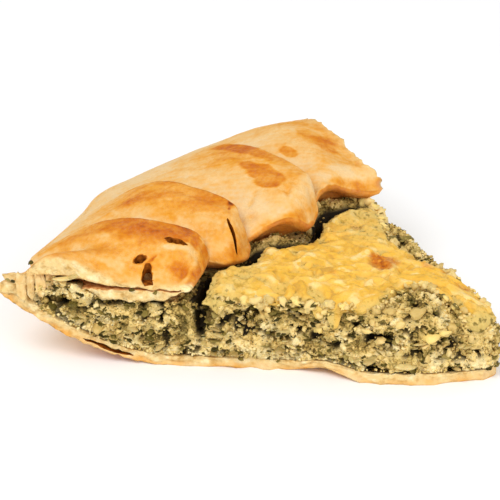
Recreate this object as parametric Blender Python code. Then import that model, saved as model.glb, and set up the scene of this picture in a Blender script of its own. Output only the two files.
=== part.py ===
"""A sixth of a round, free-form spinach and cheese pie, cut and lying on its base.

One sheet of dough makes the base, rises to a pinched rim and is folded back over the filling in
overlapping pleats. Between the pleats' lip and the tip of the slice the filling is covered by a
baked cheese layer. Lengths are in metres and +Z is up. Shapes are laid out in the whole pie's polar
coordinates: r from its middle, and v from 0 at the near cut to 1 at the far cut.
"""

import math
from collections import namedtuple

import bmesh
import bpy
from mathutils import Matrix, Vector, noise

MM = 0.001

# The whole pie and the slice
PIE_RADIUS = 132 * MM
# The rim isn't quite round: it dips inwards, or bulges out, round some angles
Wave = namedtuple("Wave", "angle half_width depth")
RIM_WAVES = (
    Wave(18.0, 24.0, 4.2 * MM),
    Wave(16.0, 13.0, 1.3 * MM),
    Wave(28.5, 6.0, -1.3 * MM),
    Wave(39.0, 9.0, 1.1 * MM),
    Wave(52.0, 10.0, -1.3 * MM),
)
RIM_FLARE = 2.2 * MM  # it spreads a little at the near cut
RIM_FLARE_WIDTH = 6.0
PINCH = 3.5 * MM  # and is pinched in just behind it
PINCH_ANGLE, PINCH_WIDTH = 4.5, 4.0
SLICE_ANGLE = math.radians(60)
NOSE_RADIUS = 3.5 * MM  # the slice's tip is rounded by crumbling
TIP_STRETCH = 3.0 * MM  # and pressed out a little past the pie's middle
TIP_LENGTH = 30 * MM
GAP = 0.35 * MM  # between pieces that touch
CHEESE_GAP = 0.6 * MM  # below the cheese, whose facets cross the filling's
COVER_GAP = 0.65 * MM  # below the flap, likewise

# The dough sheet
BASE_THICKNESS = 2.8 * MM
FLAT_RADIUS = 88 * MM  # the base lies flat out to here, then curves up to the rim
RIM_HEIGHT = 20 * MM
RIM_CURVE = 1.8
RIM_EDGE = 2.8 * MM
RIM_SWELL = 0.6 * MM  # the edge rounds outwards a little
RIM_TUCK = 1.5 * MM  # and turns in at its top
FILLING_RADIUS = 124 * MM  # the dough is pinched shut outside this

# The folded flap. Each pleat climbs from a valley to its ridge and drops sharply behind it.
Pleat = namedtuple("Pleat", "end valley ridge swell lip foot")
PLEATS_START = -3.0
PLEATS = (
    Pleat(end=12.5, valley=21.2 * MM, ridge=32.3 * MM, swell=1.3, lip=80.0 * MM, foot=82.0 * MM),
    Pleat(end=24.2, valley=25.0 * MM, ridge=32.8 * MM, swell=0.75, lip=72.5 * MM, foot=80.3 * MM),
    Pleat(end=43.2, valley=25.5 * MM, ridge=34.2 * MM, swell=0.80, lip=65.0 * MM, foot=75.0 * MM),
    Pleat(end=62.5, valley=26.0 * MM, ridge=34.2 * MM, swell=0.85, lip=74.5 * MM, foot=70.5 * MM),
)
LAST_FOOT = 71 * MM
CREST = 0.93  # share of a pleat's width at which it is highest
FULL_HEIGHT = 0.60  # share of the flap's length at which a pleat reaches its height
FAR_FULL_HEIGHT = 0.47  # and towards the far cut
FAR_SLUMP = 2.8 * MM  # how far the last pleat slumps towards its lip at the far cut
SLUMP_START, SLUMP_END = 0.5, 0.85
DOME = 1.8 * MM  # extra height in the middle of the flap
DOME_PLACE, DOME_WIDTH = 0.55, 0.65
EDGE_LIFT = 7.0 * MM  # the first pleat's cut edge lifts near the rim, steeply on the rim's side
EDGE_LIFT_PLACE = 0.26
EDGE_LIFT_RISE, EDGE_LIFT_FALL = 0.22, 0.42
EDGE_LIFT_SHARE = 0.11
FOLD_OVERHANG = 1.6 * MM
FOLD_START, FOLD_WIDTH = 0.84, 0.15  # where a fold leans, as shares of its pleat's width
FOLD_TUCK = 0.4  # share of the overhang that the valleys on both sides are drawn in
FOLD_EASE = 0.5  # share of the overhang that is lost at the lip
DROOP_START = 0.87  # share of the flap's length from which it droops to its lip
DROOP_CURVE = 3.2
RIDGE_TWIST = math.radians(3.0)  # the ridges start turned towards the near cut at the rim
RIDGE_BOW = 3.0 * MM  # and bow towards the far one
LIP_THICKNESS = 2.8 * MM
LIP_UNDERCUT = 1.5 * MM
LIP_REACH = 0.82  # the flap's underside is free of the filling beyond this share of its length
NEAR_LIP = 24.6 * MM  # top of the lip at the near cut
LOW_LIP = 22.8 * MM  # of the second pleat's drape, which hangs down and leans to the near cut
FAR_LIP = 25.6 * MM  # and beyond it, where it is raised in two places
Raised = namedtuple("Raised", "share half_width height")
RAISED_LIPS = (Raised(0.49, 0.12, 4.2 * MM), Raised(0.81, 0.16, 4.4 * MM))
LIP_LEAN = 3.0 * MM
LIP_CURL = 3.0 * MM  # the lip's end curls out past the far cut

# The filling and the cheese on it
COVER_HEIGHT = 18.4 * MM  # top of the filling below the flap
END_RISE = 4.0 * MM  # it stands higher at the near cut's outer end
END_RISE_RADIUS, END_RISE_WIDTH = 114.5 * MM, 12 * MM
END_RISE_SHARE = 0.13
TOP_HEIGHT = 22.4 * MM  # top of the cheese
TIP_DROP = 5.0 * MM  # the top falls towards the tip
TIP_DROP_LENGTH = 24 * MM
FAR_DROP = 1.8 * MM  # and towards the far cut
FAR_DROP_START, FAR_DROP_END = 30 * MM, 60 * MM
CHEESE_THICKNESS = 2.6 * MM
CHEESE_EDGE = 1.5 * MM  # how ragged its edge by the crevice is
CHEESE_ROUNDING = 0.7 * MM  # how far its edges are rounded off
GROOVE_WIDTH = 3.0 * MM  # the filling has shrunk away from the flap's lip
GROOVE_DEPTH = 6.5 * MM
SAG = 1.8 * MM  # the top sags towards the near cut
SAG_START, SAG_END = 20 * MM, 45 * MM
SAG_SHARE = 0.15

# The cheese is broken off along both cuts, where the filling stands a little higher
Break = namedtuple("Break", "radius half_width share")
NEAR_BREAK = Break(radius=21 * MM, half_width=12 * MM, share=0.42)
FAR_BREAK = Break(radius=42 * MM, half_width=27 * MM, share=0.13)
BREAK_RISE = 1.4 * MM

# The near cut isn't quite straight, and the base arches up a little at one spot
BULGE_RADIUS = 28 * MM
BULGE_WIDTH = 30 * MM
BULGE = 6.4 * MM
ARCH_RADIUS = 45.0 * MM
ARCH_WIDTH = 5.0 * MM
ARCH_HEIGHT = 2.2 * MM
ARCH_REACH = 8 * MM

# Crumbly holes in the cuts: place along the radius, height, half width, half height, depth
Hole = namedtuple("Hole", "radius height half_width half_height depth")
NEAR_HOLES = (
    Hole(79 * MM, 16 * MM, 1.8 * MM, 8 * MM, 6.0 * MM),
    Hole(67 * MM, 12 * MM, 3.6 * MM, 4.5 * MM, 4.5 * MM),
    Hole(53 * MM, 16 * MM, 3.0 * MM, 2.2 * MM, 3.5 * MM),
    Hole(48 * MM, 10 * MM, 2.4 * MM, 3.0 * MM, 3.0 * MM),
    Hole(31 * MM, 11 * MM, 5.0 * MM, 3.0 * MM, 4.0 * MM),
    Hole(104 * MM, 17.5 * MM, 6.0 * MM, 1.8 * MM, 3.0 * MM),
    Hole(119 * MM, 18 * MM, 5.0 * MM, 1.6 * MM, 3.0 * MM),
    Hole(15 * MM, 10 * MM, 3.5 * MM, 3.0 * MM, 3.0 * MM),
)
FAR_HOLES = (
    Hole(92 * MM, 13 * MM, 5.0 * MM, 3.5 * MM, 3.5 * MM),
    Hole(60 * MM, 11 * MM, 4.0 * MM, 4.5 * MM, 4.0 * MM),
    Hole(36 * MM, 14 * MM, 5.0 * MM, 3.0 * MM, 3.5 * MM),
    Hole(110 * MM, 17 * MM, 5.0 * MM, 2.0 * MM, 3.0 * MM),
)
HOLE_REACH = 14 * MM
HOLE_SOFTNESS = 1.6  # a hole fades out over this many times its half size
CUT_ROUGHNESS = 1.1 * MM
DOUGH_ROUGHNESS = 0.66 * MM
CUT_GRAIN = 5.0 * MM
CRUMB_GRAIN = 2.6 * MM
TOP_ROUGHNESS = 0.9 * MM
TOP_GRAIN = 8 * MM
UNEVENNESS = 0.9 * MM
UNEVEN_GRAIN = 24 * MM

# The hollow of the first pleat, open at the near cut, with a thin layer of dough below it
NEAR_POCKET_START, NEAR_POCKET_END = 84 * MM, 122.5 * MM
NEAR_POCKET_SHARE = 0.165  # share of the slice's angle at which it closes
NEAR_POCKET_FLOOR = 3.4 * MM  # above the filling
SKIN_GAP = 0.7 * MM  # its height at the cut towards the lip
SKIN_LIFT = 5.2 * MM  # and how much more towards the rim
NEAR_POCKET_ARCH = 6.5 * MM

# The hollow of the last pleat, open at the far cut
FAR_POCKET_START, FAR_POCKET_END = 90 * MM, 121 * MM
FAR_POCKET_SHARE = 0.89
FAR_POCKET_FLOOR = 2.4 * MM
FAR_POCKET_ARCH = 7.0 * MM

# Tears in the first pleat's skin: place, length, width and direction
Tear = namedtuple("Tear", "radius angle length width turn")
TEARS = {
    "tear_at_cut": Tear(93.2 * MM, 1.2, 7.5 * MM, 2.8 * MM, math.radians(80)),
    "tear_in_middle": Tear(96.3 * MM, 3.9, 3.8 * MM, 2.4 * MM, math.radians(-17)),
    "tear_near_ridge": Tear(87.4 * MM, 7.8, 6.6 * MM, 2.0 * MM, math.radians(6)),
}
TEAR_BOTTOM, TEAR_TOP = 23.4 * MM, 42 * MM
TEAR_ROUGHNESS = 0.5 * MM
SPLIT_START, SPLIT_END = 98 * MM, 110 * MM  # the base's layers have parted here
SPLIT_GAPE = 1.3 * MM
SPLIT_LEVEL = 0.42


def mix(a, b, t):
    return a + (b - a) * t


def clamp(t):
    return min(max(t, 0.0), 1.0)


def smooth(low, high, x):
    t = clamp((x - low) / (high - low))
    return t * t * (3 - 2 * t)


def bump(x):
    """1 at 0, falling smoothly to 0 at -1 and 1."""
    return (1 - min(x * x, 1.0)) ** 2


def spread(count, start=0.0, end=1.0):
    """Evenly spaced fractions strictly between start and end."""
    return [mix(start, end, i / count) for i in range(1, count)]


def roughness(point, grain, seed):
    """Smooth random height from -1 to 1 with bumps of about the grain's size."""
    return noise.noise(point / grain + Vector((seed, 3.7 * seed, -2.1 * seed)))


def nose(v):
    """Radius at which the slice's rounded tip starts, a circle that touches both cuts."""
    off_middle = (v - 0.5) * SLICE_ANGLE
    centre = NOSE_RADIUS / math.sin(SLICE_ANGLE / 2)
    across = centre * math.sin(off_middle)
    return centre * math.cos(off_middle) - math.sqrt(max(NOSE_RADIUS**2 - across**2, 0.0))


def place(r, v, z, shift=0.0):
    """The point at radius r, share v of the slice's angle and height z, with the slice's own warps.

    shift moves it sideways, in metres, towards the far cut.
    """
    angle = v * SLICE_ANGLE + shift / max(r, NOSE_RADIUS)
    degrees = math.degrees(angle)
    dip = sum(wave.depth * bump((degrees - wave.angle) / wave.half_width) for wave in RIM_WAVES)
    flare = RIM_FLARE * (1 - smooth(0.0, RIM_FLARE_WIDTH, degrees))
    pinch = PINCH * bump((degrees - PINCH_ANGLE) / PINCH_WIDTH)
    r += (flare - dip - pinch) * smooth(FLAT_RADIUS, PIE_RADIUS, r)
    x = TIP_STRETCH * (1 - smooth(0, TIP_LENGTH, r)) - r * math.cos(angle)
    y = r * math.sin(angle)
    near = (1 - clamp(v)) ** 10
    y -= BULGE * bump((r - BULGE_RADIUS) / BULGE_WIDTH) * mix(1.0, 0.45, clamp(z / TOP_HEIGHT)) * near
    z += ARCH_HEIGHT * bump((r - ARCH_RADIUS) / (2 * ARCH_WIDTH)) * clamp(1 - z / ARCH_REACH) * near
    return Vector((x, y, z))


def underside(r):
    """Height of the dough's outer face below the filling."""
    t = clamp((r - FLAT_RADIUS) / (PIE_RADIUS - FLAT_RADIUS))
    return RIM_HEIGHT * t**RIM_CURVE


def base_top(r):
    """Height of the dough's inner face, a dough thickness above the underside along its normal."""
    run = PIE_RADIUS - FLAT_RADIUS
    t = clamp((r - FLAT_RADIUS) / run)
    slope = RIM_CURVE * RIM_HEIGHT / run * t ** (RIM_CURVE - 1)
    return underside(r) + BASE_THICKNESS * math.hypot(1, slope)


def pleat_at(v):
    """The pleat that v lies in, its number, and how far across it v is."""
    angle = math.degrees(v * SLICE_ANGLE)
    start = PLEATS_START
    for number, pleat in enumerate(PLEATS):
        if angle <= pleat.end or pleat is PLEATS[-1]:
            return number, pleat, (angle - start) / (pleat.end - start)
        start = pleat.end


def pleat_height(v):
    number, pleat, across = pleat_at(v)
    if across <= CREST:
        return mix(pleat.valley, pleat.ridge, math.sin(math.pi / 2 * across / CREST) ** pleat.swell)
    following = PLEATS[min(number + 1, len(PLEATS) - 1)]
    return mix(pleat.ridge, following.valley, smooth(CREST, 1.0, across))


def lip_radius(v):
    """Radius of the flap's inner edge, which bulges inwards with each pleat."""
    number, pleat, across = pleat_at(v)
    feet = [p.foot for p in PLEATS] + [LAST_FOOT]
    straight = mix(feet[number], feet[number + 1], across)
    middle = mix(feet[number], feet[number + 1], 0.5)
    return straight + (pleat.lip - middle) * math.sin(math.pi * clamp(across)) ** 0.8


def second_pleat(v):
    """1 along the second pleat's drape and 0 elsewhere."""
    return smooth(0.18, 0.25, v) * (1 - smooth(0.36, 0.44, v))


def edge_radius(v):
    """Where the filling and the cheese meet the lip, past the second pleat's leaning drape."""
    leaning = v + LIP_LEAN / (lip_radius(v) * SLICE_ANGLE) * second_pleat(v)
    return min(lip_radius(v), lip_radius(leaning))


def lip_height(v):
    raised = sum(lip.height * bump((v - lip.share) / lip.half_width) for lip in RAISED_LIPS)
    return mix(mix(NEAR_LIP, FAR_LIP, smooth(0.38, 0.5, v)), LOW_LIP, second_pleat(v)) + raised


def fold_shift(v):
    """How far the fold at a pleat's crest leans over the next pleat."""
    across = pleat_at(v)[2]
    lean = math.sin(math.pi * clamp((across - FOLD_START) / FOLD_WIDTH))
    tuck = FOLD_TUCK * (smooth(0.96, 1.0, across) + smooth(0.08, 0.0, across))
    return FOLD_OVERHANG * (lean - tuck)


def flap_shift(t, v):
    """How far the flap's upper face moves sideways: folds lean, ridges bow and the lip curls."""
    r = mix(PIE_RADIUS, lip_radius(v), t)
    middle = 4 * v * (1 - v)
    side = fold_shift(v) * smooth(0.0, 0.25, t) * (1 - FOLD_EASE * smooth(0.9, 1.0, t))
    side -= RIDGE_TWIST * (1 - smooth(0.0, 0.35, t)) * middle * r
    side += RIDGE_BOW * math.sin(math.pi * t) * middle * smooth(0.1, 0.4, v)
    side -= LIP_LEAN * smooth(0.8, 1.0, t) * second_pleat(v)
    return side + LIP_CURL * smooth(0.85, 1.0, t) * smooth(0.9, 1.0, v)


def flap_top(t, v):
    """(radius, height) of the flap's upper face, t from 0 at the rim to 1 at the lip."""
    r = mix(PIE_RADIUS - RIM_TUCK, lip_radius(v), t)
    rise = 1 - (1 - clamp(t / mix(FULL_HEIGHT, FAR_FULL_HEIGHT, smooth(0.7, 0.9, v)))) ** 2
    dome = DOME * bump((t - DOME_PLACE) / DOME_WIDTH) * smooth(0.0, 0.35, v) * (1 - smooth(0.88, 1.0, v))
    z = mix(RIM_HEIGHT + RIM_EDGE, pleat_height(v) + dome, rise)
    width = EDGE_LIFT_RISE if t < EDGE_LIFT_PLACE else EDGE_LIFT_FALL
    z += EDGE_LIFT * bump((t - EDGE_LIFT_PLACE) / width) * (1 - smooth(0.0, EDGE_LIFT_SHARE, v))
    z -= FAR_SLUMP * smooth(SLUMP_START, SLUMP_END, t) * smooth(0.86, 1.0, v)
    droop = clamp((t - DROOP_START) / (1 - DROOP_START)) ** DROOP_CURVE
    droop = mix(0.10 * smooth(0.75, 1.0, t), 1.0, droop)
    z = mix(z, lip_height(v), droop)
    here = Vector((r * math.cos(v), r * math.sin(v), 0))
    return r, z + UNEVENNESS * roughness(here, UNEVEN_GRAIN, 1.0) * rise


def top_height(r, v):
    """Height of the cheese's upper face before its lumps."""
    sag = SAG * smooth(SAG_START, SAG_END, r) * (1 - clamp(v / SAG_SHARE)) ** 2
    tip = TIP_DROP * (1 - smooth(0, TIP_DROP_LENGTH, r))
    far = FAR_DROP * smooth(0.6, 1.0, v) * (1 - smooth(FAR_DROP_START, FAR_DROP_END, r))
    return TOP_HEIGHT - sag - tip - far


def cheese_span(r):
    """The shares of the slice's angle at which the cheese starts and ends."""
    start = NEAR_BREAK.share * bump((r - NEAR_BREAK.radius) / NEAR_BREAK.half_width)
    end = 1 - FAR_BREAK.share * bump((r - FAR_BREAK.radius) / FAR_BREAK.half_width)
    return start, end


def groove(r, v):
    """Depth of the crevice between the cheese and the flap's lip."""
    middle = edge_radius(v) - 0.5 * GROOVE_WIDTH
    along = smooth(0.0, 0.06, v) * (1 - 0.8 * smooth(0.86, 0.98, v))
    return GROOVE_DEPTH * bump((r - middle) / (0.62 * GROOVE_WIDTH)) * mix(0.5, 1.0, along)


def cover_height(r, v):
    """Top of the filling below the flap."""
    at_end = bump((r - END_RISE_RADIUS) / END_RISE_WIDTH) * (1 - smooth(0.0, END_RISE_SHARE, v))
    return COVER_HEIGHT + END_RISE * at_end


def filling_top(r, v):
    edge = edge_radius(v)
    start, end = cheese_span(r)
    bare = smooth(0.06, 0.14, start - v) * smooth(0.0, 0.12, v) + smooth(0.035, 0.06, v - end)
    under_cheese = top_height(r, v) - CHEESE_THICKNESS + BREAK_RISE * bare
    level = mix(under_cheese, cover_height(r, v), smooth(edge - GROOVE_WIDTH, edge, r))
    return level - groove(r, v)


def hole_depth(holes, r, z):
    depths = []
    for hole in holes:
        across = bump((r - hole.radius) / hole.half_width / HOLE_SOFTNESS)
        up = bump((z - hole.height) / hole.half_height / HOLE_SOFTNESS)
        depths.append(hole.depth * across * up)
    return max(depths)


def gridded_box(us, vs, ws):
    """A closed unit cube with loop cuts at the given fractions of each axis."""
    box = bmesh.new()
    bmesh.ops.create_cube(box, size=1, matrix=Matrix.Translation((0.5, 0.5, 0.5)))
    for axis, cuts in enumerate((us, vs, ws)):
        normal = Vector([float(axis == i) for i in range(3)])
        for cut in cuts:
            everything = box.verts[:] + box.edges[:] + box.faces[:]
            bmesh.ops.bisect_plane(box, geom=everything, plane_co=normal * cut, plane_no=normal, dist=1e-6)
    return box


def shaped_box(name, us, vs, ws, shape, material=None):
    """An object made from a gridded cube whose points shape(u, v, w) puts in place."""
    box = gridded_box(us, vs, ws)
    for vertex in box.verts:
        vertex.co = shape(*vertex.co)
    if box.calc_volume(signed=True) < 0:
        bmesh.ops.reverse_faces(box, faces=box.faces)
    mesh = bpy.data.meshes.new(name)
    box.to_mesh(mesh)
    box.free()
    if material:
        mesh.materials.append(material)
        mesh.shade_smooth()
        mesh.set_sharp_from_angle(angle=math.radians(40))
    return bpy.data.objects.new(name, mesh)


# Loop cuts by the near cut, where the rim is pinched in; the dough and the filling share them
NEAR_LINES = (0.02, 0.04, 0.079, 0.12)


def pleat_lines():
    """Loop cuts across the slice, close together where each pleat folds over."""
    lines = list(NEAR_LINES)
    start = PLEATS_START
    for pleat in PLEATS:
        for across in (0.0, 0.08, 0.2, 0.35, 0.5, 0.66, 0.8, 0.88, CREST, 0.965):
            v = mix(start, pleat.end, across) / math.degrees(SLICE_ANGLE)
            if NEAR_LINES[-1] + 0.01 < v < 0.99:
                lines.append(v)
        start = pleat.end
    return lines


# Shares of the dough sheet's length, from the tip of the base round the rim to the flap's lip
BASE_END, RISE_END, TURN_END = 0.24, 0.46, 0.56
# Loop cuts along the flap, as shares of its length
FLAP_LINES = (0.03, 0.08, 0.15, 0.24, 0.31, 0.4, 0.55, 0.7, 0.82, 0.9, 0.95, 0.98)


def crust_point(u, v, w):
    """u runs along the dough sheet, v across the slice, and w from its inner to its outer face."""
    outer = w > 0.5
    side = 0.0
    if u <= BASE_END:
        r = mix(nose(v), FLAT_RADIUS, u / BASE_END)
        z = 0.0 if outer else BASE_THICKNESS
    elif u <= RISE_END:
        t = (u - BASE_END) / (RISE_END - BASE_END)
        r = mix(FLAT_RADIUS, PIE_RADIUS if outer else FILLING_RADIUS + GAP, t)
        z = underside(r) if outer else base_top(r)
    elif u <= TURN_END:
        t = (u - RISE_END) / (TURN_END - RISE_END)
        if outer:
            r = PIE_RADIUS + RIM_SWELL * math.sin(math.pi * t) - RIM_TUCK * t**2
            z = RIM_HEIGHT + RIM_EDGE * t
        else:
            r = FILLING_RADIUS + GAP
            z = mix(base_top(r), cover_height(r, v) + COVER_GAP, t)
    else:
        t = (u - TURN_END) / (1 - TURN_END)
        if outer:
            r, z = flap_top(t, v)
            side = flap_shift(t, v)
        else:
            r = mix(FILLING_RADIUS + GAP, lip_radius(v) + LIP_UNDERCUT, t)
            z = mix(cover_height(r, v) + COVER_GAP, lip_height(v) - LIP_THICKNESS, smooth(LIP_REACH, 1.0, t))
    if v in (0.0, 1.0):
        ragged = DOUGH_ROUGHNESS * roughness(Vector((r, v, z)), CUT_GRAIN, 2.0)
        side += ragged if v else -ragged
    return place(r, v, z, side)


# Shares of the filling's length, from the tip to where the cheese and the crevice past it end
COVERED_END, GROOVE_END = 0.6, 0.76


def filling_point(u, v, w):
    """u runs along the radius, v across the slice and w up."""
    edge = edge_radius(v)
    if u <= COVERED_END:
        r = mix(nose(v), edge - GROOVE_WIDTH, u / COVERED_END)
    elif u <= GROOVE_END:
        t = (u - COVERED_END) / (GROOVE_END - COVERED_END)
        r = mix(edge - GROOVE_WIDTH, edge + 0.5 * GROOVE_WIDTH, t)
    else:
        r = mix(edge + 0.5 * GROOVE_WIDTH, FILLING_RADIUS - GAP, (u - GROOVE_END) / (1 - GROOVE_END))
    floor = base_top(r) + GAP
    z = mix(floor, filling_top(r, v), w)
    from_near = v * SLICE_ANGLE * r
    from_far = (1 - v) * SLICE_ANGLE * r
    side = hole_depth(NEAR_HOLES, r, z) * max(1 - from_near / HOLE_REACH, 0) ** 2
    side -= hole_depth(FAR_HOLES, r, z) * max(1 - from_far / HOLE_REACH, 0) ** 2
    if v in (0.0, 1.0):
        here = Vector((r, v, z))
        side += CUT_ROUGHNESS * (roughness(here, CUT_GRAIN, 5.0) + 0.7 * roughness(here, CRUMB_GRAIN, 7.0))
    if u == 0.0:
        r += CUT_ROUGHNESS * roughness(Vector((v * 20 * MM, 0, z)), CUT_GRAIN, 6.0)
    return place(r, v, z, side)


def cheese_point(u, v, w):
    """u runs along the radius, v across the slice and w up."""
    ragged = CHEESE_EDGE * roughness(Vector((v * 90 * MM, 0, 0)), TOP_GRAIN, 8.0)
    r = mix(nose(v) + 0.5 * MM, edge_radius(v) - GROOVE_WIDTH + ragged, u)
    edge = min(u, 1 - u, v, 1 - v)
    at_cut = v in (0.0, 1.0)
    start, end = cheese_span(r)
    v = mix(start, end, v)
    bottom = min(filling_top(r, v) + groove(r, v), top_height(r, v) - CHEESE_THICKNESS) + CHEESE_GAP
    lumps = TOP_ROUGHNESS * roughness(place(r, v, 0), TOP_GRAIN, 9.0)
    rounding = CHEESE_ROUNDING * (1 - smooth(0, 0.05, edge))
    z = mix(bottom, top_height(r, v) + lumps - rounding, w)
    side = CUT_ROUGHNESS * roughness(Vector((r, v, z)), CUT_GRAIN, 11.0) if at_cut else 0.0
    return place(r, v, z, side)


def near_pocket(u, v, w):
    """The hollow of the first pleat, open at the near cut and closing towards the ridge."""
    r = mix(NEAR_POCKET_START, NEAR_POCKET_END, u)
    closing = math.sqrt(max(1 - clamp(v) ** 2, 0.0))
    lower = COVER_HEIGHT + NEAR_POCKET_FLOOR
    lift = SKIN_LIFT * smooth(0.35, 1.0, u) * (1 - smooth(0.0, 0.6, v))
    opening = (SKIN_GAP + lift) * math.sin(math.pi * mix(0.12, 0.88, u)) ** 0.35
    opening += NEAR_POCKET_ARCH * smooth(0.15, 0.75, v) * math.sin(math.pi * clamp(u))
    middle = lower + 0.5 * opening
    z = middle + (w - 0.5) * opening * max(closing, 0.1)
    return place(r, mix(-0.03, NEAR_POCKET_SHARE, v), z)


def far_pocket(u, v, w):
    """The hollow of the last pleat, open at the far cut."""
    r = mix(FAR_POCKET_START, FAR_POCKET_END, u)
    opening = FAR_POCKET_ARCH * math.sin(math.pi * mix(0.08, 0.92, u)) ** 0.7
    closing = math.sqrt(max(1 - clamp(v) ** 2, 0.0))
    middle = COVER_HEIGHT + FAR_POCKET_FLOOR + 0.35 * opening
    z = middle + (w - 0.35) * opening * max(closing, 0.1)
    return place(r, mix(1.03, FAR_POCKET_SHARE, v), z)


def tear_shape(tear):
    """The shape of a short tapered prism that cuts a tear down through the flap's skin."""
    middle = math.radians(tear.angle) / SLICE_ANGLE

    def point(u, v, w):
        along = (u - 0.5) * tear.length
        half = tear.width * math.sin(math.pi * mix(0.08, 0.92, u)) ** 0.8
        ragged = TEAR_ROUGHNESS * roughness(Vector((u * 9 * MM, 0, 0)), 2 * MM, tear.radius / MM)
        across = (v - 0.5) * half + ragged
        dx = along * math.cos(tear.turn) - across * math.sin(tear.turn)
        dy = along * math.sin(tear.turn) + across * math.cos(tear.turn)
        return place(tear.radius + dx, middle, mix(TEAR_BOTTOM, TEAR_TOP, w), dy)

    return point


def split(u, v, w):
    """A shallow slit where the base's layers have parted at the near cut."""
    r = mix(SPLIT_START, SPLIT_END, u)
    gape = SPLIT_GAPE * math.sin(math.pi * mix(0.06, 0.94, u))
    z = mix(underside(r), base_top(r), SPLIT_LEVEL) + (w - 0.5) * gape
    return place(r, mix(-0.02, 0.035, v), z)


def dough_material(name, color, roughness_value):
    material = bpy.data.materials.new(name)
    material.use_nodes = True
    shader = material.node_tree.nodes["Principled BSDF"]
    shader.inputs["Base Color"].default_value = (*color, 1.0)
    shader.inputs["Roughness"].default_value = roughness_value
    shader.inputs["Metallic"].default_value = 0.0
    return material


def cut_out(target, cutters, collection):
    """Adds a Boolean difference for each cutter and shows the cutters as wires."""
    for cutter in cutters:
        collection.objects.link(cutter)
        cutter.hide_render = True
        cutter.display_type = "WIRE"
        boolean = target.modifiers.new(cutter.name, "BOOLEAN")
        boolean.operation = "DIFFERENCE"
        boolean.solver = "EXACT"
        boolean.object = cutter


def lowest_and_highest(objects):
    graph = bpy.context.evaluated_depsgraph_get()
    corners = []
    for obj in objects:
        evaluated = obj.evaluated_get(graph)
        corners += [evaluated.matrix_world @ Vector(corner) for corner in evaluated.bound_box]
    low = Vector([min(c[i] for c in corners) for i in range(3)])
    high = Vector([max(c[i] for c in corners) for i in range(3)])
    return low, high


def main():
    for obj in list(bpy.data.objects):
        bpy.data.objects.remove(obj)
    pie = bpy.data.collections.new("spinach_pie_slice")
    cutters = bpy.data.collections.new("cutters")
    for collection in (pie, cutters):
        bpy.context.scene.collection.children.link(collection)

    baked_dough = dough_material("baked_dough", (0.72, 0.44, 0.18), 0.5)
    spinach = dough_material("spinach", (0.24, 0.22, 0.11), 0.6)
    baked_cheese = dough_material("baked_cheese", (0.80, 0.58, 0.20), 0.45)

    sheet_lines = (spread(15, 0, BASE_END) + [BASE_END] + spread(7, BASE_END, RISE_END) + [RISE_END]
                   + spread(2, RISE_END, TURN_END) + [TURN_END]
                   + [mix(TURN_END, 1, t) for t in FLAP_LINES])
    crust = shaped_box("pastry_crust", sheet_lines, pleat_lines(), [], crust_point, baked_dough)
    across = [*NEAR_LINES, *spread(12, NEAR_LINES[-1], 0.9), 0.9, 0.95, 0.98]
    along = (spread(25, 0, COVERED_END) + [COVERED_END] + spread(5, COVERED_END, GROOVE_END) + [GROOVE_END]
             + spread(14, GROOVE_END, 1))
    filling = shaped_box("spinach_filling", along, across, spread(6), filling_point, spinach)
    cheese = shaped_box("cheese_topping", spread(24), across, [], cheese_point, baked_cheese)

    tears = [shaped_box(name, spread(4), [], [], tear_shape(tear)) for name, tear in TEARS.items()]
    pockets = [
        shaped_box("near_pocket", spread(12), spread(6), [], near_pocket),
        shaped_box("far_pocket", spread(10), spread(5), [], far_pocket),
        shaped_box("base_split", spread(6), spread(2), [], split),
    ]
    cut_out(crust, pockets + tears, cutters)

    origin = bpy.data.objects.new("slice_origin", None)
    pie.objects.link(origin)
    for piece in (crust, filling, cheese):
        pie.objects.link(piece)
    for piece in (crust, filling, cheese, *pockets, *tears):
        piece.parent = origin
    bpy.context.view_layer.update()
    low, high = lowest_and_highest((crust, filling, cheese))
    origin.location = -Vector(((low.x + high.x) / 2, (low.y + high.y) / 2, low.z))
    bpy.context.view_layer.update()


main()
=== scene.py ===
"""Looks of a slice of a round spinach and cheese pie, modelled round its solids.

The pie's lengths are in millimetres, those of the camera and the lights in metres, and +Z is up.
Shapes are laid out in the whole pie's polar coordinates, as in the solids: r from the pie's middle,
and v from 0 at the near cut to 1 at the far cut.
"""

import math
from collections import namedtuple
from types import SimpleNamespace

import bmesh
import bpy
import numpy as np
from mathutils import Matrix, Vector, noise


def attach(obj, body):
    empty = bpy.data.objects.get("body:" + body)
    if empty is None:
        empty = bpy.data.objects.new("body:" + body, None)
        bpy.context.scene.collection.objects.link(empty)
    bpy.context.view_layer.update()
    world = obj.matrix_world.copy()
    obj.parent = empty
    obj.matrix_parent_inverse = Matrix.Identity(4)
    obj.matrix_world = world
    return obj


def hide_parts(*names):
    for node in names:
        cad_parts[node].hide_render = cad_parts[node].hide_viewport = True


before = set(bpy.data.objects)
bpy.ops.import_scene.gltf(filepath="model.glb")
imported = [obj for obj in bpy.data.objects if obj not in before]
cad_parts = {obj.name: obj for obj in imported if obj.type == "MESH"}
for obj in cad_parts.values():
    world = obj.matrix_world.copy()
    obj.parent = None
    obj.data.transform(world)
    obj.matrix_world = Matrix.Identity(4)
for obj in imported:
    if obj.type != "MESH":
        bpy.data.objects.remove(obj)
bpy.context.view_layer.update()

MM = 0.001

# Where the whole pie's middle lies in the slice's frame
PIE_MIDDLE = np.array([66.441, -54.193, 0.0])

# The camera: the picture is 500 pixels square, and the pie's middle is at one of its pixels
PICTURE_SIZE = 500
FOCAL_PIXELS = 2625
MIDDLE_PIXEL = (495, 378)
CAMERA_AZIMUTH = math.radians(5)
CAMERA_ELEVATION = math.radians(25)
CAMERA_DISTANCE = 0.70
SENSOR_WIDTH = 36

# The stage
FLOOR_SIZE = 6
SKY_STRENGTH = 0.75

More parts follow.
